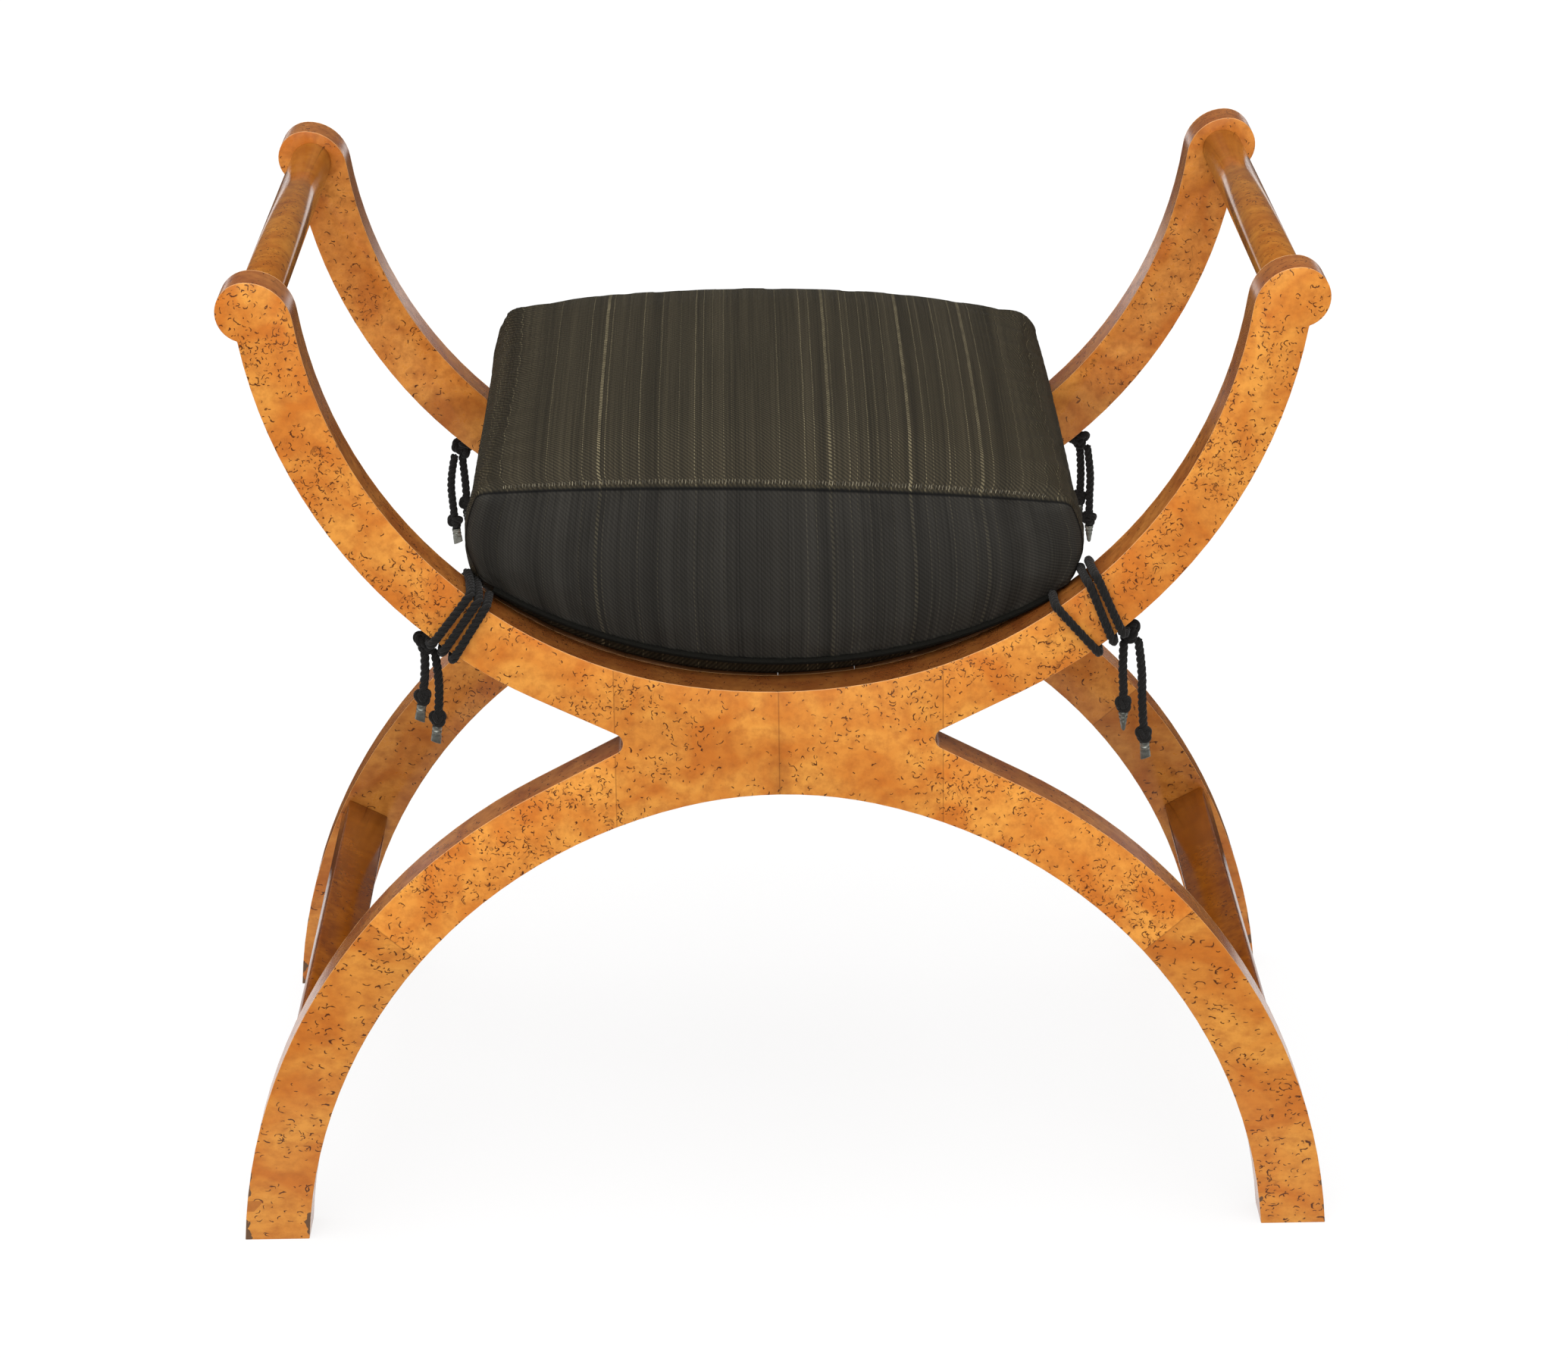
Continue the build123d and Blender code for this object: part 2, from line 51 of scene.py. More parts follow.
def linear(code):
    """An sRGB hex colour as linear red, green, blue and alpha."""
    parts = [int(code[i:i + 2], 16) / 255 for i in (0, 2, 4)]
    return [c / 12.92 if c <= 0.04045 else ((c + 0.055) / 1.055) ** 2.4 for c in parts] + [1.0]


def add(tree, kind, inputs, **settings):
    """Adds a node with its settings, links or sets its inputs, and gives its first output in use."""
    node = tree.nodes.new("ShaderNode" + kind)
    for name, value in settings.items():
        setattr(node, name, value)
    for key, value in inputs.items():
        if isinstance(value, bpy.types.NodeSocket):
            tree.links.new(value, node.inputs[key])
        else:
            node.inputs[key].default_value = value
    return next(output for output in node.outputs if output.enabled)


def new_finish(name, **sockets):
    """A material with its node tree and its shader, whose sockets are set by name."""
    finish = bpy.data.materials.new(name)
    finish.use_nodes = True
    shader = finish.node_tree.nodes["Principled BSDF"]
    for key, value in sockets.items():
        shader.inputs[key.replace("_", " ")].default_value = value
    return finish, finish.node_tree, shader


def sawn_timber(name, early, late, ring_width):
    """Planed or sawn timber: soft bands of early and late wood a few millimetres apart, no polish."""
    finish, tree, shader = new_finish(name, Roughness=0.68, Specular_IOR_Level=0.2)
    place = add(tree, "TexCoord", {}).node.outputs["Object"]
    stretched = add(tree, "Mapping", {"Vector": place, "Scale": (1.0, 0.08, 1.0)})
    rings = add(tree, "TexNoise", {"Vector": stretched, "Scale": 0.5 / ring_width, "Detail": 4.0})
    colour = add(tree, "Mix", {0: rings, 6: linear(early), 7: linear(late)}, data_type="RGBA")
    tree.links.new(colour, shader.inputs["Base Color"])
    bump = add(tree, "Bump", {"Height": rings, "Strength": 0.15, "Distance": 0.0004})
    tree.links.new(bump, shader.inputs["Normal"])
    return finish


def wear(node, finish):
    """Gives a CAD node its finish."""
    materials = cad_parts[node].data.materials
    materials.clear()
    materials.append(finish)


ends = ("front", "back")
sides = ("left", "right")

# Bare timber looks dull: soft pale bands in sawn birch, and closer ones in turned beech.
sawn_birch = sawn_timber("sawn_birch", "c79a62", "a97a45", ring_width=0.003)
turned_beech = sawn_timber("turned_beech", "c9a277", "b1855a", ring_width=0.002)
for end in ends:
    wear(f"{end}_waist_dowels", turned_beech)
    for side in sides:
        wear(f"{end}_{side}_arm", sawn_birch)
        wear(f"{end}_{side}_leg", sawn_birch)

# Burr birch veneer on both faces of each frame: thin knife-cut leaves, jointed at the middle, beside
# the waist and on the legs, and French polished. Its flecks are the pith marks of burr birch.
leaf_half_width = 0.104
leg_centre = (-0.01497, -0.02126)
leg_inner_radius = 0.328
leg_outer_radius = 0.370
leg_joint_angle = math.radians(41.0)
leg_top = 0.33
joint_tolerance = 1e-5
merge_distance = 2e-6
flat_angle = math.radians(0.2)
sharp_angle = math.radians(50)
arris = 0.0005


def on_joint(point):
    """Whether a point lies on a joint between two leaves."""
    across = abs(point.x) - leg_centre[0]
    up = point.z - leg_centre[1]
    along_leg = abs(across * math.sin(leg_joint_angle) - up * math.cos(leg_joint_angle))
    return min(abs(point.x), abs(abs(point.x) - leaf_half_width), along_leg) < joint_tolerance


def solid_copy(node, edge, joint=None):
    """A CAD node's mesh with its doubles merged, its flat faces whole and its sharp edges eased."""
    bm = bmesh.new()
    bm.from_mesh(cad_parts[node].data)
    if joint:
        inside = [face for face in bm.faces if all(joint(vert.co) for vert in face.verts)]
        bmesh.ops.delete(bm, geom=inside, context="FACES")
    bmesh.ops.remove_doubles(bm, verts=bm.verts, dist=merge_distance)
    bmesh.ops.dissolve_limit(bm, angle_limit=flat_angle, verts=bm.verts, edges=bm.edges)
    closed = [e for e in bm.edges if len(e.link_faces) == 2]
    sharp = [e for e in closed if e.calc_face_angle() > sharp_angle]
    bmesh.ops.bevel(bm, geom=sharp, offset=edge, affect="EDGES", segments=2, profile=0.5, material=-1)
    return bm


def make_piece(name, bm, finish, slot, *nodes, smooth=math.radians(40)):
    """A mesh object with its finish, which moves with the stool and stands for these CAD nodes."""
    mesh = bpy.data.meshes.new(name)
    bm.to_mesh(mesh)
    bm.free()
    mesh.materials.append(finish)
    mesh.shade_smooth()
    mesh.set_sharp_from_angle(angle=smooth)
    piece = bpy.data.objects.new(name, mesh)
    scene.collection.objects.link(piece)
    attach(piece, "root")
    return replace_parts(piece, *nodes)


# Sizes of the burr's figure, and its flecks in three sizes: the cell that each lies in, its ring and stroke
cloud_size = 0.035
mottle_size = 0.007
patch_size = 0.042
stray_size = 0.005
stray_reach = 0.004
pith_wave = 0.011
pith_break = 0.006
fleck_sizes = ((0.0036, 0.0010, 0.00035), (0.0052, 0.0015, 0.00042), (0.0080, 0.0022, 0.00047))


def burr_birch(name, pale, amber, deep, crowding, gloss, shift=(0.0, 0.0, 0.0), leaf=True):
    """French-polished burr birch: amber clouds, with short dark curled flecks that crowd in patches.

    In a leaf of veneer the figure lies in the plane of the face, otherwise it runs through the wood.
    """
    finish, tree, shader = new_finish(name, IOR=1.5, Specular_IOR_Level=0.28 if leaf else 0.5)
    texture = add(tree, "TexCoord", {}).node
    figure = add(tree, "VectorMath", {0: texture.outputs["Object"], 1: shift}, operation="ADD")
    plenty = crowding
    if leaf:
        # The foot leaves have fewer flecks, drawn out across the leg, and the waist is nearly plain.
        plan = leaf_plan(tree, texture.outputs["Object"])
        split = add(tree, "SeparateXYZ", {0: figure}).node
        drawn = add(tree, "MapRange", {"Value": plan["foot"], "To Min": 1.0, "To Max": 0.7})
        wide = add(tree, "Math", {0: split.outputs["X"], 1: drawn}, operation="MULTIPLY")
        figure = add(tree, "CombineXYZ", {"X": wide, "Y": split.outputs["Z"]})
        plenty = add(tree, "MapRange", {"Value": plan["side"], "From Min": 0.02, "From Max": 0.12,
                                        "To Min": 0.3 * crowding, "To Max": crowding})
        plenty = add(tree, "Math", {0: plenty, 1: drawn}, operation="MULTIPLY")

    # Clouds of amber, and a finer mottle
    cloud = add(tree, "TexNoise", {"Vector": figure, "Scale": 1 / cloud_size, "Detail": 3.0,
                                   "Distortion": 0.8})
    mottle = add(tree, "TexNoise", {"Vector": figure, "Scale": 1 / mottle_size, "Detail": 4.0,
                                    "Roughness": 0.65})
    clouded = add(tree, "MapRange", {"Value": cloud, "From Min": 0.36, "From Max": 0.64})
    mottled = add(tree, "MapRange", {"Value": mottle, "From Min": 0.42, "From Max": 0.72, "To Max": 0.6})
    ground = add(tree, "Mix", {0: clouded, 6: linear(pale), 7: linear(amber)}, data_type="RGBA")
    ground = add(tree, "Mix", {0: mottled, 6: ground, 7: linear(deep)}, data_type="RGBA")

    # The flecks wander with the grain of the burr, and crowd together in patches.
    stray = add(tree, "TexNoise", {"Vector": figure, "Scale": 1 / stray_size, "Detail": 2.0})
    stray = stray.node.outputs["Color"]
    stray = add(tree, "VectorMath", {0: stray, 1: (0.5, 0.5, 0.5)}, operation="SUBTRACT")
    stray = add(tree, "VectorMath", {0: stray, "Scale": stray_reach}, operation="SCALE")
    bent = add(tree, "VectorMath", {0: figure, 1: stray}, operation="ADD")
    patch = add(tree, "TexNoise", {"Vector": figure, "Scale": 1 / patch_size, "Detail": 2.0,
                                   "Roughness": 0.6})
    patch = add(tree, "MapRange", {"Value": patch, "From Min": 0.40, "From Max": 0.62, "To Min": 0.10})
    crowd = add(tree, "Math", {0: patch, 1: plenty}, operation="MULTIPLY")

    # Curled flecks: an arc of a small ring round a random point in each cell
    marks = 0.0
    plane = "2D" if leaf else "3D"
    for cell, ring, stroke in fleck_sizes:
        spots = add(tree, "TexVoronoi", {"Vector": bent, "Scale": 1 / cell}, voronoi_dimensions=plane).node
        chance = add(tree, "SeparateColor", {0: spots.outputs["Color"]}).node
        spoke = add(tree, "VectorMath", {0: bent, 1: spots.outputs["Position"]}, operation="SUBTRACT")
        reach = add(tree, "VectorMath", {0: spoke}, operation="LENGTH")
        size = add(tree, "MapRange", {"Value": chance.outputs["Red"], "To Min": 0.5 * ring,
                                      "To Max": 1.3 * ring})
        off = add(tree, "Math", {0: reach, 1: size}, operation="SUBTRACT")
        off = add(tree, "Math", {0: off}, operation="ABSOLUTE")
        turn = add(tree, "Math", {0: chance.outputs["Green"], 1: math.tau}, operation="MULTIPLY")
        facing = add(tree, "VectorRotate", {"Vector": (1.0, 0.0, 0.0), "Angle": turn},
                     rotation_type="Z_AXIS")
        unit = add(tree, "VectorMath", {0: spoke}, operation="NORMALIZE")
        swing = add(tree, "VectorMath", {0: unit, 1: facing}, operation="DOT_PRODUCT")
        window = add(tree, "MapRange", {"Value": swing, "From Min": 0.1, "From Max": 0.6})
        width = add(tree, "Math", {0: window, 1: stroke}, operation="MULTIPLY")
        line = add(tree, "MapRange", {"Value": off, "From Max": width, "To Min": 1.6, "To Max": 0.0})
        there = add(tree, "Math", {0: chance.outputs["Blue"], 1: crowd}, operation="LESS_THAN")
        fleck = add(tree, "Math", {0: line, 1: there}, operation="MULTIPLY", use_clamp=True)
        fleck = add(tree, "Math", {0: fleck, 1: window}, operation="MULTIPLY")
        marks = add(tree, "Math", {0: marks, 1: fleck}, operation="MAXIMUM")

    # Long wavering pith lines, only where the flecks crowd
    waver = add(tree, "TexNoise", {"Vector": bent, "Scale": 1 / pith_wave, "Detail": 1.0,
                                   "Distortion": 1.2})
    waver = add(tree, "Math", {0: waver, 1: 0.5}, operation="SUBTRACT")
    waver = add(tree, "Math", {0: waver}, operation="ABSOLUTE")
    thread = add(tree, "MapRange", {"Value": waver, "From Max": 0.02, "To Min": 0.8, "To Max": 0.0})
    broken = add(tree, "TexNoise", {"Vector": figure, "Scale": 1 / pith_break, "Detail": 1.0})
    broken = add(tree, "MapRange", {"Value": broken, "From Min": 0.5, "From Max": 0.6})
    dense = add(tree, "MapRange", {"Value": crowd, "From Min": 0.45 * crowding,
                                   "From Max": 0.9 * crowding})
    thread = add(tree, "Math", {0: thread, 1: broken}, operation="MULTIPLY")
    thread = add(tree, "Math", {0: thread, 1: dense}, operation="MULTIPLY")
    marks = add(tree, "Math", {0: marks, 1: thread}, operation="MAXIMUM")
    veneer = add(tree, "Mix", {0: marks, 6: ground, 7: linear("4e250c")}, data_type="RGBA")
    if leaf:
        veneer = jointed(tree, texture, veneer, plan)
    tree.links.new(veneer, shader.inputs["Base Color"])
    rough = add(tree, "MapRange", {"Value": mottle, "To Min": gloss, "To Max": gloss + 0.14})
    tree.links.new(rough, shader.inputs["Roughness"])
    ripple = add(tree, "Bump", {"Height": mottle, "Strength": 0.12, "Distance": 0.0003})
    tree.links.new(ripple, shader.inputs["Normal"])
    return finish


def leaf_plan(tree, place):
    """How far a point of a face lies from the middle and from a joint, and which of the leaves it is on."""
    plain = add(tree, "SeparateXYZ", {0: place}).node
    side = add(tree, "Math", {0: plain.outputs["X"]}, operation="ABSOLUTE")
    beside = add(tree, "Math", {0: side, 1: leaf_half_width}, operation="SUBTRACT")
    beyond = add(tree, "Math", {0: beside, 1: 0.0}, operation="GREATER_THAN")
    beside = add(tree, "Math", {0: beside}, operation="ABSOLUTE")
    joint = add(tree, "Math", {0: side, 1: beside}, operation="MINIMUM")
    lean = (math.sin(leg_joint_angle), 0.0, -math.cos(leg_joint_angle))
    rise = -leg_centre[0] * lean[0] - leg_centre[1] * lean[2]
    folded = add(tree, "CombineXYZ", {"X": side, "Z": plain.outputs["Z"]})
    down_leg = add(tree, "VectorMath", {0: folded, 1: lean}, operation="DOT_PRODUCT")
    down_leg = add(tree, "Math", {0: down_leg, 1: rise}, operation="ADD")
    above = add(tree, "Math", {0: plain.outputs["Z"], 1: leg_top}, operation="GREATER_THAN")
    lower = add(tree, "Math", {0: down_leg, 1: above}, operation="GREATER_THAN")
    down_leg = add(tree, "Math", {0: down_leg}, operation="ABSOLUTE")
    down_leg = add(tree, "Math", {0: down_leg, 1: above}, operation="ADD")
    joint = add(tree, "Math", {0: joint, 1: down_leg}, operation="MINIMUM")
    centre = (leg_centre[0], 0.0, leg_centre[1])
    radius = add(tree, "VectorMath", {0: folded, 1: centre}, operation="DISTANCE")
    leg_middle = (leg_inner_radius + leg_outer_radius) / 2
    half_leg = (leg_outer_radius - leg_inner_radius) / 2
    inset = add(tree, "Math", {0: radius, 1: leg_middle}, operation="SUBTRACT")
    inset = add(tree, "Math", {0: inset}, operation="ABSOLUTE")
    inset = add(tree, "Math", {0: half_leg, 1: inset}, operation="SUBTRACT")
    return {"side": side, "height": plain.outputs["Z"], "joint": joint, "beyond": beyond, "foot": lower,
            "inset": inset}


hairline_width = 0.0006
stain_size = 0.012
stain_reach = 0.009
chip_size = 0.011
chip_depth = 0.006


def jointed(tree, texture, veneer, plan):
    """Adds what laying and use have left: joints, a change of tone there, stains, chips and pale edges,
    with painted shade on the foot leaves and a painted highlight on the edges.
    """
    tone = add(tree, "MapRange", {"Value": plan["beyond"], "To Min": 0.97, "To Max": 1.04})
    # The foot leaves are also painted darker: painted shade on the lower legs.
    foot_painted_shade = add(tree, "Math", {0: plan["foot"], 1: 0.18}, operation="MULTIPLY")
    tone = add(tree, "Math", {0: tone, 1: foot_painted_shade}, operation="SUBTRACT")
    veneer = add(tree, "VectorMath", {0: veneer, "Scale": tone}, operation="SCALE")
    hairline = add(tree, "MapRange", {"Value": plan["joint"], "From Max": hairline_width, "To Min": 0.5,
                                      "To Max": 0.0})
    veneer = add(tree, "Mix", {0: hairline, 6: veneer, 7: linear("5a2a0c")}, data_type="RGBA")

    # Stain has crept out of the middle joint near the arch.
    place = texture.outputs["Object"]
    creep = add(tree, "TexNoise", {"Vector": place, "Scale": 1 / stain_size, "Detail": 3.0})
    near = add(tree, "MapRange", {"Value": plan["side"], "From Max": stain_reach, "To Min": 0.62,
                                  "To Max": 0.0})
    under = add(tree, "MapRange", {"Value": plan["height"], "From Min": 0.318, "From Max": 0.352,
                                   "To Min": 1.0, "To Max": 0.2})
    smear = add(tree, "Math", {0: near, 1: under}, operation="MULTIPLY")
    smear = add(tree, "Math", {0: smear, 1: creep}, operation="MULTIPLY")
    veneer = add(tree, "Mix", {0: smear, 6: veneer, 7: linear("4a1f08")}, data_type="RGBA")

    # Knocks have chipped the edges of the leaves near the floor, down to the dark glue.
    knock = add(tree, "TexNoise", {"Vector": place, "Scale": 1 / chip_size, "Detail": 3.0})
    knock = add(tree, "MapRange", {"Value": knock, "From Min": 0.55, "From Max": 0.75,
                                   "To Max": chip_depth})
    low = add(tree, "MapRange", {"Value": plan["height"], "From Min": 0.015, "From Max": 0.06,
                                 "To Min": 1.0, "To Max": 0.0})
    knock = add(tree, "Math", {0: knock, 1: low}, operation="MULTIPLY")
    chip = add(tree, "Math", {0: plan["inset"], 1: knock}, operation="LESS_THAN")
    chip = add(tree, "Math", {0: chip, 1: plan["foot"]}, operation="MULTIPLY")
    veneer = add(tree, "Mix", {0: chip, 6: veneer, 7: linear("5c4029")}, data_type="RGBA")

    # The cut edges of the leaves are pale, and are painted paler still as a painted highlight on the eased
    # arrises.
    facing = add(tree, "SeparateXYZ", {0: texture.outputs["Normal"]}).node.outputs["Y"]
    facing = add(tree, "Math", {0: facing}, operation="ABSOLUTE")
    edge = add(tree, "MapRange", {"Value": facing, "From Min": 0.25, "From Max": 0.85,
                                  "To Min": 0.85, "To Max": 0.0})
    return add(tree, "Mix", {0: edge, 6: veneer, 7: linear("dcae78")}, data_type="RGBA")


def opened(finish):
    """A finish's tree, its shader, the colour that reaches it and the place on it, for marks of age and for
    painted shade.
    """
    tree = finish.node_tree
    shader = tree.nodes["Principled BSDF"]
    place = add(tree, "SeparateXYZ", {0: add(tree, "TexCoord", {}).node.outputs["Object"]}).node
    return tree, shader, shader.inputs["Base Color"].links[0].from_socket, place.outputs


# The outer leaves look golden and busy with flecks under a soft shine. The inner ones are a browner, calmer
# veneer, and are also painted a little darker as painted shade between the frames.
outer_tones = ("d68f39", "c06d20", "a25717")
inner_shaded_tones = ("cf873a", "b66722", "8e4912")
front_burr = burr_birch("burr_birch_front", *outer_tones, crowding=0.78, gloss=0.26)
back_burr = burr_birch("burr_birch_back", *outer_tones, crowding=0.78, gloss=0.26, shift=(1.3, 0.0, 0.4))
inner_burr = burr_birch("burr_birch_inner", *inner_shaded_tones, crowding=0.36, gloss=0.22, shift=(1.7, 0.0, 0.6))

# Between the feet and the seat the inner faces are painted darker: painted shade under the seat and between
# the frames.
tree, shader, colour, place = opened(inner_burr)
low_painted_shade = add(tree, "MapRange", {"Value": place["Z"], "From Min": 0.05, "From Max": 0.16, "To Min": 1.0,
                              "To Max": 0.78})
shade_lifts_at_seat = add(tree, "MapRange", {"Value": place["Z"], "From Min": 0.38, "From Max": 0.46})
shade = add(tree, "Math", {0: low_painted_shade, 1: shade_lifts_at_seat}, operation="MAXIMUM")
colour = add(tree, "VectorMath", {0: colour, "Scale": shade}, operation="SCALE")
tree.links.new(colour, shader.inputs["Base Color"])

# A let-in piece of darker veneer mends the outer edge of the left front foot.
mend_edge = -0.366
mend_slope = -0.9
mend_height = 0.024
mend_half_height = 0.0038
mend_strength = 0.55
tree, shader, colour, place = opened(front_burr)
slant = add(tree, "Math", {0: place["Z"], 1: mend_slope, 2: place["X"]}, operation="MULTIPLY_ADD")
mend = add(tree, "Math", {0: slant, 1: mend_edge}, operation="LESS_THAN")
level = add(tree, "Math", {0: place["Z"], 1: mend_height, 2: mend_half_height}, operation="COMPARE")
mend = add(tree, "Math", {0: mend, 1: level}, operation="MULTIPLY")
mend = add(tree, "Math", {0: mend, 1: mend_strength}, operation="MULTIPLY")
colour = add(tree, "Mix", {0: mend, 6: colour, 7: linear("8a4513")}, data_type="RGBA")
tree.links.new(colour, shader.inputs["Base Color"])
burr_leaves = {
    "front_outer": front_burr,
    "back_outer": back_burr,
    "front_inner": inner_burr,
    "back_inner": inner_burr,
}
for face, burr in burr_leaves.items():
    leaves = solid_copy(f"{face}_veneer", arris, on_joint)
    make_piece(f"{face}_leaves", leaves, burr, "burr_birch_veneer", f"{face}_veneer")

# Edge bandings: thin strips of burr, bent and glued round the edges of each frame after the faces were
# veneered. They are painted darker than the faces, as painted shade, and mirror the room where they stand
# steep.
shaded_strip_tones = ("b87434", "9c5723", "77401a")
strip_finish = burr_birch("polished_edge_strip", *shaded_strip_tones, crowding=0.5, gloss=0.14,
                          shift=(0.4, 0.0, 0.2), leaf=False)

# Under the cushion, from the bottom of the U to the cushion's edges, the strips are painted darker: the
# cushion's painted shadow.
u_bottom = 0.36
tree, shader, colour, place = opened(strip_finish)
cushion_shadow = add(tree, "MapRange", {"Value": place["Z"], "From Min": 0.41, "From Max": 0.46, "To Min": 0.55,
                                 "To Max": 0.0})
above = add(tree, "Math", {0: place["Z"], 1: u_bottom}, operation="GREATER_THAN")
cushion_shadow = add(tree, "Math", {0: cushion_shadow, 1: above}, operation="MULTIPLY")
colour = add(tree, "Mix", {0: cushion_shadow, 6: colour, 7: linear("3a1c10")}, data_type="RGBA")
tree.links.new(colour, shader.inputs["Base Color"])
for end in ends:
    strips = bmesh.new()
    strips.from_mesh(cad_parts[f"{end}_edge_banding"].data)
    bmesh.ops.remove_doubles(strips, verts=strips.verts, dist=merge_distance)
    make_piece(f"{end}_edge_strips", strips, strip_finish, "polished_edge_banding", f"{end}_edge_banding")

# Handle rods: round rods of burr birch, turned, and tenoned into sockets in the ears. Hands have
# polished them, so they look like glass, with sharp bright streaks along them.
rod_tones = ("b87628", "a05c1a", "7c3f0c")
rod_finish = burr_birch("polished_handle_burr", *rod_tones, crowding=0.7, gloss=0.06,
                        shift=(0.9, 0.0, 0.1), leaf=False)
rod_easing = 0.0006
for side in sides:
    rod = solid_copy(f"{side}_handle", rod_easing)
    make_piece(f"{side}_handle_rod", rod, rod_finish, "polished_birch", f"{side}_handle")

# Stretchers: flat boards of burr birch between the legs, tenoned into mortises in them. They are painted
# the darkest of the burr, as painted shade under the seat, under a clear polish, and feet have softened
# their long edges.
shaded_board_tones = ("92500c", "7b3d06", "5c2903")
shaded_board_finish = burr_birch("polished_stretcher_burr_painted_shade", *shaded_board_tones, crowding=0.5, gloss=0.10,
                          shift=(2.1, 0.0, 0.7), leaf=False)
board_easing = 0.0016
for side in sides:
    board = solid_copy(f"{side}_stretcher", board_easing)
    make_piece(f"{side}_stretcher_board", board, shaded_board_finish, "polished_birch", f"{side}_stretcher")

# Seat slats: planed birch, laid edge to edge on two curved bearers that are screwed to the frames. Slats
# and bearers are painted a dull dark brown, as painted shade under the cushion, in which the bands of the
# wood still show.
shaded_planed_birch = sawn_timber("planed_birch_painted_shade", "6b4425", "4c2d15", ring_width=0.004)
slat_count = 8
slat_easing = 0.0001
bearer_easing = 0.0008
for number in range(1, slat_count + 1):
    slat = solid_copy(f"seat_slat_{number}", slat_easing)
    make_piece(f"planed_slat_{number}", slat, shaded_planed_birch, "plain_birch", f"seat_slat_{number}")
for end in ends:
    rail = solid_copy(f"{end}_seat_bearer", bearer_easing)
    make_piece(f"{end}_bearer_rail", rail, shaded_planed_birch, "plain_birch", f"{end}_seat_bearer")

# Bearer screws: plain steel screws, turned, that hold each bearer to the inner face of its frame.
# Their heads look grey, with brown specks of rust that are rougher than the rest.
speck_size = 0.002


def tarnished_metal(name, bright, tarnish, detail, smooth, rough):
    """Bare metal, dulled in specks of about 2 mm that are darker and rougher."""
    finish, tree, shader = new_finish(name, Metallic=1.0)
    place = add(tree, "TexCoord", {}).node.outputs["Object"]
    specks = add(tree, "TexNoise", {"Vector": place, "Scale": 1 / speck_size, "Detail": detail})
    colour = add(tree, "Mix", {0: specks, 6: linear(bright), 7: linear(tarnish)}, data_type="RGBA")
    tree.links.new(colour, shader.inputs["Base Color"])
    worn = add(tree, "MapRange", {"Value": specks, "To Min": smooth, "To Max": rough})
    tree.links.new(worn, shader.inputs["Roughness"])
    return finish


screw_steel = tarnished_metal("plain_screw_steel", "8d8a84", "6a5f52", detail=3.0, smooth=0.25, rough=0.55)
wear("bearer_screws", screw_steel)

# Cushion: a box cushion stuffed with hair, its top and sides one length of dark twill and its ends two
# sewn-in panels. It fills the U, follows the curve of the slats and has slumped a little to the right.
cushion_half_width = 0.1885
cushion_half_depth = 0.2125
cushion_side_height = 0.105
seat_arc_radius = 0.3184
seat_arc_height = 0.6924
seat_half_width = 0.196
slat_gap = 0.0006
rounded_side = 0.017
rounded_end = 0.006
side_bulge = 0.0075
left_shift = 0.001
side_lean = 0.0052
end_draw = 0.003
end_drop = 0.0085
end_lift = 0.013
end_crown = 0.011
middle_crown = 0.029
top_height = 0.508
back_rise = 0.0045
pleat_spacing = 0.027
pleat_width = 0.0016
pleat_height = 0.0014
lump_height = 0.0022
roll_height = 0.0013
roll_inset = 0.0032
roll_width = 0.0024
seam_depth = 0.0016
seam_width = 0.0012
panel_step = 0.0018
panel_bulge = 0.0045
on_seam = 1e-6


def ease(low, high, value):
    """A smooth step from nought at low to one at high."""
    share = min(max((value - low) / (high - low), 0.0), 1.0)
    return share * share * (3 - 2 * share)


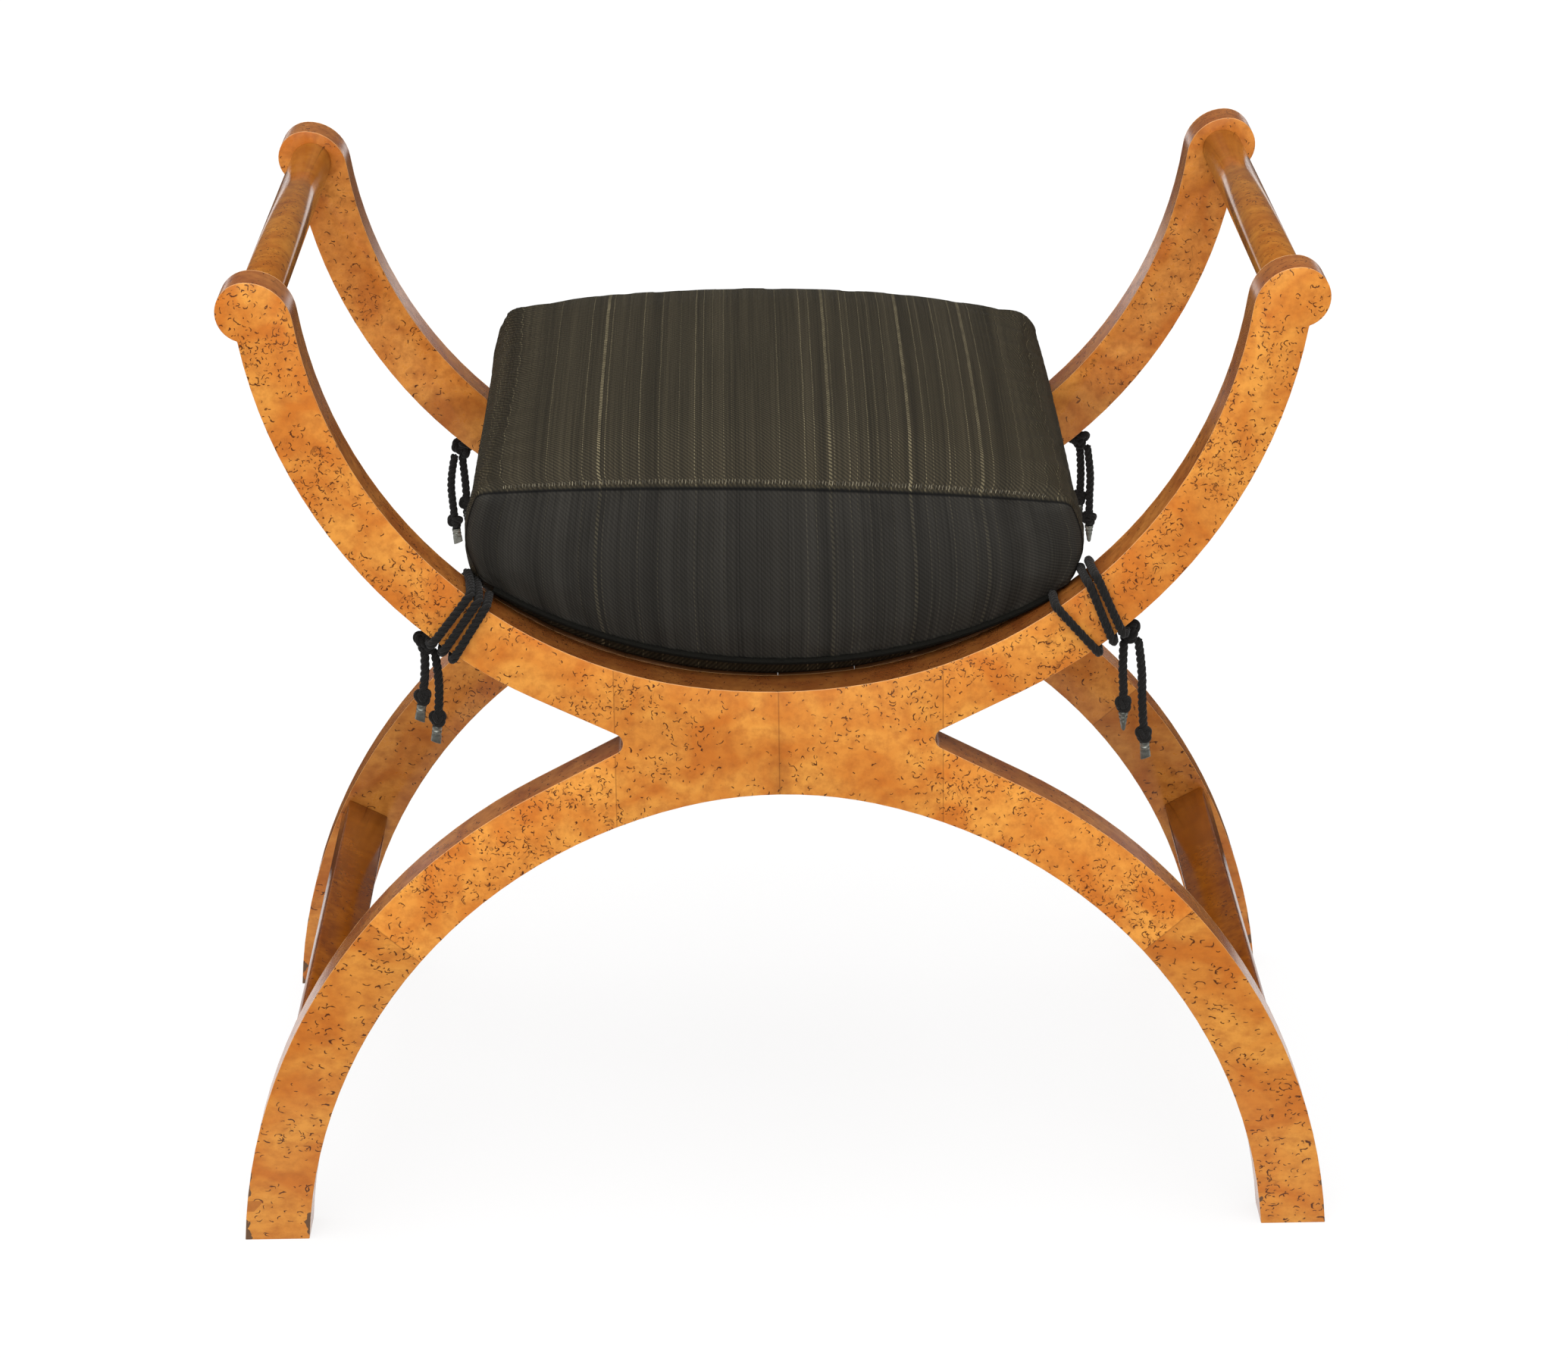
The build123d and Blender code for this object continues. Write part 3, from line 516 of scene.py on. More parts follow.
def stuffed(across, deep, up):
    """A point of the cushion from its place in a box: across and deep from -1 to 1, up from 0 to 1."""
    # The top corners of the sides are round.
    end = abs(deep)
    round_here = rounded_side + (rounded_end - rounded_side) * end**8
    ring = round_here / cushion_half_width
    lid = round_here / cushion_side_height
    over = max(abs(across) - (1 - ring), 0.0) / ring
    high = max(up - (1 - lid), 0.0) / lid
    if over and high:
        pull = max(over, high) / math.hypot(over, high)
        across = math.copysign(1 - ring + ring * over * pull, across)
        up = 1 - lid + lid * high * pull
    seam = (1 - end) * cushion_half_depth
    near_end = ease(0.94, 1.0, end)

    # The sides bulge, draw in at the ends and crease between the arms and the top.
    bulge = side_bulge * math.sin(math.pi * up**0.8)
    x = across * (cushion_half_width - end_draw * near_end + bulge) - left_shift
    y = deep * cushion_half_depth
    lean = (side_lean - 0.0008 * deep) * (0.4 + 0.6 * end)
    edge = top_height + back_rise * deep - end_drop * end**4 - lean * across
    low_crown = end_crown + back_rise * deep
    crown = low_crown + (middle_crown - low_crown) * (1 - end**3.6) ** 0.9
    top = edge + crown * (1 - across * across) ** 0.85
    lift = slat_gap + (end_lift - 0.008 * across**2 - 0.0035 * across) * near_end
    arc = math.sqrt(seat_arc_radius**2 - min(abs(x), seat_half_width) ** 2)
    floor_z = seat_arc_height - arc + lift
    z = floor_z + up * (top - floor_z)
    stray = 0.9 * noise.noise(Vector((y * 14, across * 3, 1.7)))
    ripple = math.sin(math.tau * (y / pleat_spacing + stray) + 9 * up)
    crease = ease(0.72, 0.94, abs(across)) * ease(0.25, 0.7, up) * (1 - ease(0.9, 0.985, end))
    x += math.copysign(pleat_width * ripple * crease, across)
    z += pleat_height * ripple * crease * ease(0.8, 1.0, up)
    lump = noise.noise(Vector((x * 13, y * 9, 4.2)))
    z += lump_height * ease(0.6, 1.0, up) * (1 - near_end) * lump

    # A rolled edge stands up beside each end seam, and the seam itself is drawn in.
    roll = roll_height * math.exp(-(((seam - roll_inset) / roll_width) ** 2))
    roll -= seam_depth * math.exp(-((seam / seam_width) ** 2))
    z += roll * ease(0.8, 0.98, up)
    x += math.copysign(roll * ease(0.9, 0.99, abs(across)) * ease(0.1, 0.3, up), across)
    rim = min(1 - abs(across), up * 0.55, (1 - up) * 0.55)
    if seam < on_seam:
        y += math.copysign(panel_step * ease(0.0, 0.02, rim) + panel_bulge * ease(0.0, 0.3, rim), deep)
    return Vector((x, y, z))


def cushion_cover():
    """The cover: a box cut into a fine grid, with its cloth laid out flat as a UV map, then stuffed."""
    bm = bmesh.new()
    bmesh.ops.create_cube(bm, size=2.0)
    for axis, cuts in ((0, 70), (1, 96), (2, 26)):
        along = [e for e in bm.edges if abs(e.verts[0].co[axis] - e.verts[1].co[axis]) > 1.0]
        bmesh.ops.subdivide_edges(bm, edges=along, cuts=cuts, use_grid_fill=True)
    # The grid is finer towards the seams.
    for vert in bm.verts:
        for axis, power in ((0, 1.3), (1, 1.5), (2, 1.3)):
            vert.co[axis] = math.copysign(1 - (1 - abs(vert.co[axis])) ** power, vert.co[axis])
    bm.normal_update()
    cloth = bm.loops.layers.uv.new("cloth")
    for face in bm.faces:
        for loop in face.loops:
            across, deep, up = loop.vert.co
            drop = (1 - up) / 2 * cushion_side_height
            wide = across * cushion_half_width
            long = deep * cushion_half_depth
            if abs(face.normal.x) > 0.5:
                wide = math.copysign(cushion_half_width + drop, across)
            if abs(face.normal.y) > 0.5:
                long = math.copysign(cushion_half_depth + drop, deep)
            loop[cloth].uv = (wide, long)
    # How far each point of the cloth lies from an end seam
    from_seam = bm.verts.layers.float.new("seam")
    for vert in bm.verts:
        across, deep, up = vert.co
        gap = (1 - abs(deep)) * cushion_half_depth
        if gap < on_seam:
            gap = min((1 - abs(across)) * cushion_half_width, (1 - abs(up)) / 2 * cushion_side_height)
        vert[from_seam] = gap
        vert.co = stuffed(across, deep, (up + 1) / 2)
    return bm


thread_width = 0.0011
band_width = 0.014
rib_spacing = 0.0022
cloth_half_span = 0.25
stripe_half_width = 0.00024
faint_spacing = 0.007
faint_half_width = 0.00025
waver_size = 0.03
worn_size = 0.02


def pinstripe_twill(name, top_colour, shaded_panel_colour, stripe):
    """Dark horsehair twill: fine diagonal ribs, streaky threads and pale stripes woven along the cloth.

    The end panels are painted a darker, colder black than the top, as painted shade on the cushion's ends.
    """
    finish, tree, shader = new_finish(name, Roughness=0.7, Specular_IOR_Level=0.12)
    cloth = add(tree, "UVMap", {}, uv_map="cloth")
    split = add(tree, "SeparateXYZ", {0: cloth}).node
    wide = split.outputs["X"]
    long = split.outputs["Y"]
    reach = add(tree, "Math", {0: long}, operation="ABSOLUTE")
    panel = add(tree, "Math", {0: reach, 1: cushion_half_depth}, operation="GREATER_THAN")
    # The end panels get their own darker colour: painted shade.
    ground = add(tree, "Mix", {0: panel, 6: linear(top_colour), 7: linear(shaded_panel_colour)}, data_type="RGBA")

    # Threads along the cloth differ in tone, and some are pale. They are drawn coarser so that they show.
    drawn = add(tree, "Mapping", {"Vector": cloth, "Scale": (1.0, 0.004, 1.0)})
    threads = add(tree, "TexNoise", {"Vector": drawn, "Scale": 1 / thread_width, "Detail": 2.0,
                                     "Roughness": 0.7})
    bands = add(tree, "TexNoise", {"Vector": drawn, "Scale": 1 / band_width, "Detail": 3.0})
    tone = add(tree, "Math", {0: threads, 1: bands}, operation="ADD")
    tone = add(tree, "MapRange", {"Value": tone, "From Min": 0.72, "From Max": 1.3, "To Min": 0.55,
                                  "To Max": 1.5})
    colour = add(tree, "VectorMath", {0: ground, "Scale": tone}, operation="SCALE")

    # Diagonal ribs of the twill: 1.5 mm apart on the real cloth, drawn 2.2 mm apart so that they show,
    # and half as deep on the end panels, which look smoother
    rib = add(tree, "Math", {0: wide, 1: long}, operation="ADD")
    rib = add(tree, "Math", {0: rib, 1: math.tau / (rib_spacing * math.sqrt(2))}, operation="MULTIPLY")
    rib = add(tree, "Math", {0: rib}, operation="SINE")
    flat = add(tree, "MapRange", {"Value": panel, "To Min": 1.0, "To Max": 0.5})
    rib = add(tree, "Math", {0: rib, 1: flat}, operation="MULTIPLY")
    ribbed = add(tree, "MapRange", {"Value": rib, "From Min": -1.0, "To Min": 0.6, "To Max": 1.42})
    colour = add(tree, "VectorMath", {0: colour, "Scale": ribbed}, operation="SCALE")

    # Pale stripes waver more towards the sides, where the cloth is pulled.
    side = add(tree, "Math", {0: wide}, operation="ABSOLUTE")
    slack = add(tree, "MapRange", {"Value": side, "From Min": 0.15, "From Max": 0.19, "To Min": 0.001,
                                   "To Max": 0.007})
    waver = add(tree, "TexNoise", {"Vector": cloth, "Scale": 1 / waver_size, "Detail": 2.0})
    waver = add(tree, "Math", {0: waver, 1: 0.5}, operation="SUBTRACT")
    waver = add(tree, "Math", {0: waver, 1: slack}, operation="MULTIPLY")
    wavered = add(tree, "Math", {0: wide, 1: waver}, operation="ADD")
    spread = add(tree, "MapRange", {"Value": wavered, "From Min": -cloth_half_span,
                                    "From Max": cloth_half_span})
    ramp = add(tree, "ValToRGB", {0: spread}).node
    ramp.color_ramp.interpolation = "CONSTANT"
    ramp.color_ramp.elements[0].color = (0.0, 0.0, 0.0, 1.0)
    ramp.color_ramp.elements.remove(ramp.color_ramp.elements[1])
    for place, strength in stripe_places:
        for offset, level in ((-stripe_half_width, 0.75 * strength), (stripe_half_width, 0.0)):
            share = (place + offset + cloth_half_span) / (2 * cloth_half_span)
            stop = ramp.color_ramp.elements.new(share)
            stop.color = (level, level, level, 1.0)

    # Fainter threads lie between them at random, 7 mm apart on average.
    lines = add(tree, "TexVoronoi", {"W": wavered, "Scale": 1 / faint_spacing}, voronoi_dimensions="1D")
    thin = add(tree, "Math", {0: lines, 1: faint_half_width / faint_spacing}, operation="LESS_THAN")
    shown = add(tree, "SeparateColor", {0: lines.node.outputs["Color"]})
    shown = add(tree, "MapRange", {"Value": shown, "From Min": 0.1, "To Max": 0.5})
    faint = add(tree, "Math", {0: thin, 1: shown}, operation="MULTIPLY")
    pale = add(tree, "Math", {0: ramp.outputs["Color"], 1: faint}, operation="MAXIMUM")
    dash = add(tree, "MapRange", {"Value": rib, "From Min": -0.4, "From Max": 0.4, "To Min": 0.06})
    worn = add(tree, "TexNoise", {"Vector": cloth, "Scale": 1 / worn_size, "Detail": 3.0})
    worn = add(tree, "MapRange", {"Value": worn, "From Min": 0.35, "From Max": 0.6, "To Min": 0.55})
    # On the end panels the pale stripes are painted fainter, as painted shade.
    panel_stripe_shade = add(tree, "MapRange", {"Value": panel, "To Min": 1.0, "To Max": 0.22})
    for share in (dash, worn, panel_stripe_shade):
        pale = add(tree, "Math", {0: pale, 1: share}, operation="MULTIPLY")
    colour = add(tree, "Mix", {0: pale, 6: colour, 7: linear(stripe)}, data_type="RGBA")

    # The end seams are dark lines.
    seam = add(tree, "Attribute", {}, attribute_name="seam").node.outputs["Fac"]
    seam = add(tree, "MapRange", {"Value": seam, "From Min": 0.0003, "From Max": 0.0014, "To Min": 0.08})
    colour = add(tree, "VectorMath", {0: colour, "Scale": seam}, operation="SCALE")
    tree.links.new(colour, shader.inputs["Base Color"])
    height = add(tree, "Math", {0: rib, 1: threads}, operation="ADD")
    bump = add(tree, "Bump", {"Height": height, "Strength": 0.3, "Distance": 0.0004})
    tree.links.new(bump, shader.inputs["Normal"])
    return finish


swell_steps = 20
swell_pressure = 4.0
sewn_margin = 0.0012


def swell(piece, reach):
    """Lets the cover swell between its seams as the stuffing presses, no point further than reach."""
    start = [vert.co.copy() for vert in piece.data.vertices]
    from_seam = piece.data.attributes["seam"].data
    below = {v.index for v in piece.data.vertices if v.normal.z < -0.5}
    sewn = [i for i, seam in enumerate(from_seam) if i in below or seam.value < sewn_margin]
    piece.vertex_groups.new(name="sewn").add(sewn, 1.0, "REPLACE")
    cloth = piece.modifiers.new("stuffing", "CLOTH")
    cloth.settings.quality = 6
    cloth.settings.mass = 0.2
    cloth.settings.vertex_group_mass = "sewn"
    cloth.settings.use_pressure = True
    cloth.settings.uniform_pressure_force = swell_pressure
    cloth.settings.effector_weights.gravity = 0.0
    cloth.settings.shrink_min = -0.01
    cloth.settings.tension_stiffness = 40.0
    cloth.settings.compression_stiffness = 40.0
    cloth.settings.bending_stiffness = 0.3
    cloth.collision_settings.use_collision = False
    for step in range(1, swell_steps + 1):
        scene.frame_set(step)
    swollen = piece.evaluated_get(bpy.context.evaluated_depsgraph_get()).data
    moves = [after.co - before for after, before in zip(swollen.vertices, start)]
    piece.modifiers.remove(cloth)
    piece.vertex_groups.clear()
    for vert, before, move in zip(piece.data.vertices, start, moves):
        vert.co = before + move * min(1.0, reach / max(move.length, 1e-9))
    scene.frame_set(1)


# The stripes' places across the cloth from the middle, and how strongly each shows
stripe_places = [
    (-0.184, 0.8), (-0.173, 0.7), (-0.134, 0.6), (-0.1115, 0.7), (-0.087, 0.4),
    (-0.053, 0.65), (-0.0165, 0.6), (0.011, 0.6), (0.035, 0.5), (0.0615, 0.8),
    (0.086, 0.6), (0.106, 0.4), (0.131, 0.45), (0.165, 0.8), (0.178, 0.6),
]
twill = pinstripe_twill("pinstripe_horsehair_twill", "2f2a1f", "282622", "9c9070")
cushion = make_piece("twill_cushion", cushion_cover(), twill, "pinstripe_twill", "seat_cushion")
swell_limit = 0.003
swell(cushion, swell_limit)

# Overcast stitches: waxed linen thread that whips the rolled edge of the top to each end panel, by hand.
# It looks dull, and soiled to the cloth's own tone, so that only some stitches show pale.
soil_size = 0.005
stitch_spacing = 0.0021
stitch_thread = 0.00027
stitch_reach = 0.94
stitch_inset = 0.0012
stitch_length = 0.0042
stitch_stray = 0.0022
stitch_slant = 0.003
linen, tree, shader = new_finish("waxed_linen_thread", Roughness=0.7)
place = add(tree, "TexCoord", {}).node.outputs["Object"]
soil = add(tree, "TexNoise", {"Vector": place, "Scale": 1 / soil_size, "Detail": 3.0})
soil = add(tree, "MapRange", {"Value": soil, "From Min": 0.4, "From Max": 0.72})
colour = add(tree, "Mix", {0: soil, 6: linear("39352a"), 7: linear("9a9076")}, data_type="RGBA")
tree.links.new(colour, shader.inputs["Base Color"])
stitches = bmesh.new()
stitch_count = int(2 * stitch_reach * cushion_half_width / stitch_spacing)
for end in (-1, 1):
    for number in range(stitch_count):
        uneven = noise.noise(Vector((number * 1.3, end, 5.0)))
        across = -stitch_reach + 2 * stitch_reach * (number + 0.7 * uneven) / (stitch_count - 1)
        reach = stitch_length + stitch_stray * noise.noise(Vector((number * 0.7, end, 0.0)))
        near = stuffed(across, end * (1 - stitch_inset / cushion_half_depth), 1.0)
        far = stuffed(across + stitch_slant, end * (1 - reach / cushion_half_depth), 1.0)
        run = far - near
        turn = run.to_track_quat("Z", "Y").to_matrix().to_4x4()
        place = Matrix.Translation((near + far) / 2 + Vector((0.0, 0.0, stitch_thread))) @ turn
        size = Matrix.Diagonal((stitch_thread, stitch_thread, run.length / 2, 1.0))
        bmesh.ops.create_icosphere(stitches, subdivisions=1, radius=1.0, matrix=place @ size)
make_piece("overcast_stitches", stitches, linen, "pinstripe_twill")

# Welts: piping of black twill round a string, sewn into the lower seam of each end panel. They are painted
# darker than the cloth beside them, as painted shade under the cushion's lower edge, and catch hardly any
# light.
welt_radius = 0.0021
welt_out = 0.0012
welt_reach = 0.96
welt_steps = 24
welt_resolution = 6
tube_merge_distance = 1e-6


def black_yarn(name, dark, light, grain, detail, relief, depth, **sockets):
    """Matt black yarn: two near blacks that mix fibre by fibre, drawn far coarser so that they show."""
    finish, tree, shader = new_finish(name, Roughness=0.85, **sockets)
    place = add(tree, "TexCoord", {}).node.outputs["Object"]
    fibre = add(tree, "TexNoise", {"Vector": place, "Scale": 1 / grain, "Detail": detail})
    colour = add(tree, "Mix", {0: fibre, 6: linear(dark), 7: linear(light)}, data_type="RGBA")
    tree.links.new(colour, shader.inputs["Base Color"])
    bump = add(tree, "Bump", {"Height": fibre, "Strength": relief, "Distance": depth})
    tree.links.new(bump, shader.inputs["Normal"])
    return finish


def curve_mesh(kind, lines, **settings):
    """A bmesh drawn from a curve that has a spline of this kind along each line of points."""
    curve = bpy.data.curves.new("route", "CURVE")
    curve.dimensions = "3D"
    for name, value in settings.items():
        setattr(curve, name, value)
    for line in lines:
        spline = curve.splines.new(kind)
        spline.points.add(len(line) - 1)
        for control, point in zip(spline.points, line):
            control.co = (*point, 1.0)
        if kind == "NURBS":
            spline.order_u = 3
            spline.use_endpoint_u = True
    mesh = bpy.data.meshes.new_from_object(bpy.data.objects.new("route", curve))
    bm = bmesh.new()
    bm.from_mesh(mesh)
    bpy.data.meshes.remove(mesh)
    bpy.data.curves.remove(curve)
    return bm


def drawn_line(points, steps=16):
    """Points along the smooth line that a route's points control."""
    bm = curve_mesh("NURBS", [points], resolution_u=steps)
    line = [vert.co.copy() for vert in bm.verts]
    bm.free()
    return line


def tubes(lines, radius):
    """Round tubes along lines of points, as one bmesh."""
    bm = curve_mesh("POLY", lines, bevel_depth=radius, bevel_resolution=2, use_fill_caps=True)
    bmesh.ops.remove_doubles(bm, verts=bm.verts, dist=tube_merge_distance)
    bmesh.ops.recalc_face_normals(bm, faces=bm.faces)
    return bm


black_twill = black_yarn("black_welt_twill", "080807", "161510", grain=0.0016, detail=2.0, relief=0.4,
                         depth=0.0004, Specular_IOR_Level=0.1)
seams = []
for end in (-1, 1):
    out = Vector((0.0, end * welt_out, -welt_out))
    across = [welt_reach * (2 * step / welt_steps - 1) for step in range(welt_steps + 1)]
    seams.append(drawn_line([stuffed(share, end, 0.0) + out for share in across], welt_resolution))
make_piece("piped_welts", tubes(seams, welt_radius), black_twill, "pinstripe_twill", "cushion_welts")

# Ties: black three-strand cord, sewn to the cushion's corners, wound round each arm and knotted on its
# outside. Two tails hang from each knot, with a stopper knot and a crimped metal tip on each.
arm_centre = (0.01167, 0.66194)
arm_middle_radius = 0.305
tie_angle = math.radians(49.0)
frame_middle = -0.220
cord_radius = 0.00275
wrap_out = 0.0218
wrap_deep = 0.0208
wrap_corner = 0.0032
knot_radius = 0.0065
knot_out = wrap_out + knot_radius - cord_radius
knot_forward = 0.0025
knot_gap = 0.0006
knot_step = -0.008
knot_size = 0.0020
stopper_size = 0.00115
stopper_back = 0.0049


def tie_point(radial, depth, step):
    """A point near the right front tie: out from the arm's middle line, to the back, and up the arm."""
    angle = step / arm_middle_radius - tie_angle
    reach = arm_middle_radius + radial
    x = arm_centre[0] + reach * math.cos(angle)
    return Vector((x, frame_middle + depth, arm_centre[1] + reach * math.sin(angle)))


def wrap_route(passes):
    """The cord's route from the cushion round the arm to the knot, in millimetres along the arm."""
    out = wrap_out - wrap_corner
    deep = wrap_deep - wrap_corner
    points = [tie_point(-wrap_out, 0.004, passes[0][0] / 1000)]
    for number, (behind, inner, outer) in enumerate(passes):
        if number:
            last = passes[number - 1][2] / 1000
            points += [tie_point(wrap_out, deep, last), tie_point(out, wrap_deep, last)]
            back = behind / 1000
            points += [tie_point(-out, wrap_deep, back), tie_point(-wrap_out, deep, back)]
        points += [tie_point(-wrap_out, -deep, inner / 1000), tie_point(-out, -wrap_deep, inner / 1000)]
        points += [tie_point(out, -wrap_deep, outer / 1000), tie_point(wrap_out, -deep, outer / 1000)]
    return points + [tie_point(wrap_out, -knot_forward - knot_radius - knot_gap, knot_step)]


# Passes over the arm's outer face: the cord's place along the arm behind it, at its inner edge and at
# its outer edge, in millimetres, and the cord's length in metres
wrap_passes = {
    "front_left": ([(-22.0, -22.0, -25.0), (-10.5, -15.5, -17.5), (-3.5, -8.5, -9.5)], 0.4035),
    "front_right": ([(-32.0, -32.0, -28.0), (-8.0, -5.0, -17.0), (-0.5, 2.0, -9.5)], 0.4097),
    "back_left": ([(-24.0, -24.0, -22.0), (-7.0, -6.0, -9.5)], 0.2394),
    "back_right": ([(-28.0, -28.0, -24.0), (-5.0, -3.0, -9.5)], 0.2416),
}
# Routes of the tails from the middle of the knot, outwards, to the back and up, in millimetres, and
# each tail's length in metres
tail_routes = {
    "front_left": [
        ([(1, -2, -7), (1, -3, -16), (2, -3, -28), (4, -3, -41)], 0.0342),
        ([(-5, 0, -6.3), (-7, 1, -22), (-7, 1, -40), (-5, 1, -57)], 0.0509),
    ],
    "front_right": [
        ([(-3, -2, -7), (-4, -3, -22), (-3, -3, -38), (-3, -3, -53)], 0.0461),
        ([(6, 0, -5.9), (9, 1, -24), (9, 1, -50), (11, 1, -75)], 0.0694),
    ],
    "back_left": [
        ([(1, 2, -7), (0, 3, -20), (-1, 3, -34), (-1, 3, -48)], 0.0411),
        ([(6.2, 0, -5.6), (10, -1, -22), (9, -1, -42), (7, -1, -60)], 0.0549),
    ],
    "back_right": [
        ([(1, 2, -7), (2, 3, -20), (2, 3, -35), (1, 3, -50)], 0.0431),
        ([(6.2, 0, -5.6), (9, -1, -24), (8, -1, -44), (8, -1, -65)], 0.0596),
    ],
}
lay_length = 0.0125
strand_radius = 0.00150
strand_offset = 0.00150
loop_steps = 96


def strands(line):
    """The three strands of a laid cord, wound round its middle line."""
    wound = [[], [], []]
    turn = 0.0
    side = (line[1] - line[0]).orthogonal().normalized()
    for number, point in enumerate(line):
        ahead = (line[min(number + 1, len(line) - 1)] - line[max(number - 1, 0)]).normalized()
        side = (side - ahead * side.dot(ahead)).normalized()
        over = ahead.cross(side)
        if number:
            turn += math.tau * (point - line[number - 1]).length / lay_length
        for k in range(3):
            angle = turn + math.tau * k / 3
            wound[k].append(point + (side * math.cos(angle) + over * math.sin(angle)) * strand_offset)
    return wound


def overhand(centre, size, axis):
    """The loop of a tight overhand knot, a trefoil that is seen along an axis."""
    turn = Vector(axis).to_track_quat("Z", "Y").to_matrix()
    loop = []
    for number in range(loop_steps + 1):
        t = math.tau * number / loop_steps
        wide = math.sin(t) + 2 * math.sin(2 * t)
        high = math.cos(t) - 2 * math.cos(2 * t)
        loop.append(centre + turn @ Vector((wide, high, -1.1 * math.sin(3 * t))) * size)
    return loop


# The cord looks a soft black, with a trace of sheen on its strands. The tips look like dull old tin.
black_cord = black_yarn("black_laid_cotton_cord", "070605", "191613", grain=0.0009, detail=3.0, relief=0.5,
                        depth=0.0003, Sheen_Weight=0.08, Specular_IOR_Level=0.25)
crimped = tarnished_metal("crimped_tin_plate", "a3a49c", "5f5f57", detail=4.0, smooth=0.3, rough=0.6)
tip_radius = 0.0031
tip_length = 0.011
tip_gap = 0.0003
tip_rim = 0.00025
tip_flatten = 0.55
fold_count = 6
fold_depth = 0.08
nip_places = (0.24, 0.46)
nip_width = 0.05
nip_depth = 0.22


def cord_piece(name, line, *nodes):
    """A length of laid cord along a line."""
    return make_piece(name, tubes(strands(line), strand_radius), black_cord, "black_cord", *nodes)


def crimped_sleeve(place):
    """A sleeve rolled from sheet, pressed flat towards its end and nipped twice to hold the cord."""
    sleeve = bmesh.new()
    bmesh.ops.create_cone(sleeve, cap_ends=True, segments=24, radius1=tip_radius, radius2=tip_radius,
                          depth=tip_length)
    along = [e for e in sleeve.edges if abs(e.verts[0].co.z - e.verts[1].co.z) > tip_length / 2]
    bmesh.ops.subdivide_edges(sleeve, edges=along, cuts=15)
    for vert in sleeve.verts:
        share = vert.co.z / tip_length + 0.5
        nip = sum(math.exp(-(((share - spot) / nip_width) ** 2)) for spot in nip_places)
        fold = fold_depth * math.cos(fold_count * math.atan2(vert.co.y, vert.co.x)) * share
        vert.co.x *= (1 - tip_flatten * ease(0.1, 1.0, share)) * (1 - nip_depth * nip + fold)
        vert.co.y *= (1 + 0.06 * share) * (1 - 0.10 * nip)
        vert.co.z -= 0.25 * vert.co.y * ease(0.7, 1.0, share)
    rim = [e for e in sleeve.edges if e.calc_face_angle() > math.radians(60)]
    bmesh.ops.bevel(sleeve, geom=rim, offset=tip_rim, affect="EDGES", segments=2, profile=0.5, material=-1)
    bmesh.ops.transform(sleeve, matrix=place, verts=sleeve.verts)
    return sleeve


for end in ends:
    for side in sides:
        corner = f"{end}_{side}"
        hand = -1 if side == "left" else 1
        face = -1 if end == "back" else 1
        passes, wrap_length = wrap_passes[corner]
        route = [Vector((p.x * hand, p.y * face, p.z)) for p in wrap_route(passes)]
        line = drawn_line(route)
        wrap = cord_piece(f"{corner}_cord_wrap", line, f"{corner}_tie_wrap")
        knot = tie_point(knot_out, -knot_forward, knot_step)
        knot = Vector((knot.x * hand, knot.y * face, knot.z))
        loop = overhand(knot, knot_size, (0.2, -face, 0.3))
        bow = cord_piece(f"{corner}_cord_knot", loop, f"{corner}_tie_knot")
        for number, (steps, length) in enumerate(tail_routes[corner], 1):
            route = [knot + Vector((x * hand, y, z)) / 1000 for x, y, z in steps]
            line = drawn_line(route)
            down = (route[-1] - route[-2]).normalized()
            tail = cord_piece(f"{corner}_cord_tail_{number}", line, f"{corner}_tie_tails")
            loop = overhand(route[-1] - down * stopper_back, stopper_size, (0.3, -face, 0.2 * number))
            stopper = cord_piece(f"{corner}_stopper_knot_{number}", loop)
            turn = down.to_track_quat("Z", "Y").to_matrix().to_4x4()
            place = Matrix.Translation(route[-1] + down * (tip_gap + tip_length / 2)) @ turn
            tip = make_piece(f"{corner}_cord_tip_{number}", crimped_sleeve(place), crimped, "crimped_tip",
                             f"{corner}_tie_tips")

# Studio, which isn't part of the stool: a luminous white floor under a round white backdrop, with two
# wide soft lights. Floor and backdrop look like one white sheet, with a faint shadow at each foot.
floor_size = 20.0
backdrop_radius = 18.0
card_half_width = 4.0
card_half_depth = 2.5
card_distance = 2.98
card_height = 0.001


def stage_piece(name, bm, grey, glow):
    """A matt part of the studio, in a grey that may glow white."""
    mesh = bpy.data.meshes.new(name)
    bm.to_mesh(mesh)
    bm.free()
    finish, _, shader = new_finish(name, Base_Color=(grey, grey, grey, 1.0), Specular_IOR_Level=0.0)
    shader.inputs["Emission Color"].default_value = (1.0, 1.0, 1.0, 1.0)
    shader.inputs["Emission Strength"].default_value = glow
    mesh.materials.append(finish)
    piece = bpy.data.objects.new(name, mesh)
    scene.collection.objects.link(piece)
    return piece


bm = bmesh.new()
bmesh.ops.create_grid(bm, x_segments=1, y_segments=1, size=floor_size)
stage_piece("white_floor", bm, grey=0.16, glow=0.83)

